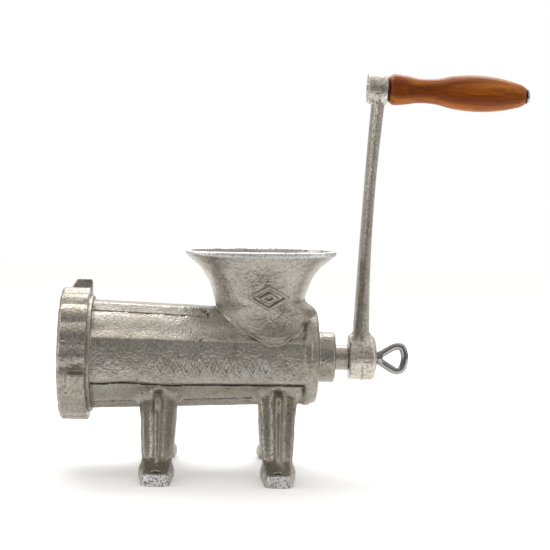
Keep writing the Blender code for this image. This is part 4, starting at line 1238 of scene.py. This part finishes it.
# Brightness of the room by direction: -1 is down and to the front, 1 is up and to the back.
ROOM_LEVELS = (
    (-1.0, 0.08), (-0.45, 0.15), (-0.15, 0.21), (0.35, 0.36),
    (0.62, 0.54), (0.82, 0.74), (1.0, 1.0),
)
ROOM_STRENGTH, ROOM_TINT, ROOM_CEILING = 1.5, (1.0, 0.985, 0.955), (0.0, 0.42, 0.91)
FLOOR_CENTRE, FLOOR_RADII, FLOOR_SIDES = (0.0, 1.4), (2.2, 1.78), 96
# Lamps: name, place, width and height, watts.
LAMPS = (
    ("overhead", (-0.1, 0.75, 1.15), (1.4, 0.5), 8.5),
    ("left_box", (-1.5, -0.5, 0.6), (0.4, 0.9), 4.0),
    ("right_box", (1.5, -0.4, 0.7), (0.4, 0.9), 2.0),
)
LAMP_TARGET = Vector((0.0, 0.0, 0.14))


def make_camera():
    data = bpy.data.cameras.new("camera")
    data.sensor_width = 36.0
    data.lens = CAMERA_LENS
    data.clip_start, data.clip_end = 0.05, 50.0
    camera = placed("camera", data)
    yaw, pitch, roll = CAMERA_YAW, CAMERA_PITCH, CAMERA_ROLL
    level = math.cos(pitch)
    ahead = Vector((math.sin(yaw) * level, math.cos(yaw) * level, math.sin(pitch)))
    right = Vector((math.cos(yaw), -math.sin(yaw), 0.0))
    up = right.cross(ahead)
    turned_right = math.cos(roll) * right + math.sin(roll) * up
    turned_up = -math.sin(roll) * right + math.cos(roll) * up
    rotation = Matrix((turned_right, turned_up, -ahead)).transposed()
    camera.matrix_world = Matrix.Translation(CAMERA_PLACE) @ rotation.to_4x4()
    bpy.context.scene.camera = camera


def make_floor():
    """A round pale table top that ends before the camera, so that the front reflects a dim room."""
    rim = []
    for i in range(FLOOR_SIDES):
        turn = 2 * math.pi * i / FLOOR_SIDES
        x = FLOOR_CENTRE[0] + FLOOR_RADII[0] * math.cos(turn)
        y = FLOOR_CENTRE[1] + FLOOR_RADII[1] * math.sin(turn)
        rim.append((x, y, 0.0))
    mesh = bpy.data.meshes.new("floor")
    mesh.from_pydata(rim, [], [tuple(range(FLOOR_SIDES))])
    mesh.materials.append(floor_material())
    floor = placed("floor", mesh)


def make_lights():
    for name, place, size, power in LAMPS:
        data = bpy.data.lights.new(name, "AREA")
        data.shape = "RECTANGLE"
        data.size, data.size_y = size
        data.energy = power
        lamp = placed(name, data)
        turn = (LAMP_TARGET - Vector(place)).to_track_quat("-Z", "Y")
        lamp.matrix_world = Matrix.Translation(place) @ turn.to_matrix().to_4x4()


def make_world():
    """White to the camera. Light and reflections see a dim room with a bright ceiling at the back."""
    world = bpy.data.worlds.new("studio")
    t = Tree("studio", world)
    t.sockets(Color=(1.0, 1.0, 1.0, 1.0), Strength=1.0)
    toward = t.node("VectorMath", operation="DOT_PRODUCT")
    t.put(toward.inputs[0], t.node("TexCoord").outputs["Generated"])
    t.put(toward.inputs[1], ROOM_CEILING)
    stops = [
        ((height + 1.0) / 2.0, [level * tint for tint in ROOM_TINT]) for height, level in ROOM_LEVELS
    ]
    levels = t.ramp(t.span(toward.outputs["Value"], -1.0, 1.0), stops, "EASE")
    soft = t.node("Background", {"Color": levels, "Strength": ROOM_STRENGTH})
    choice = t.node("MixShader", {"Fac": t.node("LightPath").outputs["Is Camera Ray"]})
    t.put(choice.inputs[1], soft.outputs[0])
    t.put(choice.inputs[2], t.shader.outputs[0])
    t.put(t.tree.nodes["World Output"].inputs["Surface"], choice.outputs[0])
    bpy.context.scene.world = world


dress_frame()
make_castings()
make_grip()
make_spindle()
make_washers()
make_plate()
make_camera()
make_floor()
make_lights()
make_world()
bpy.context.scene.view_settings.view_transform = "Standard"

bpy.context.view_layer.update()
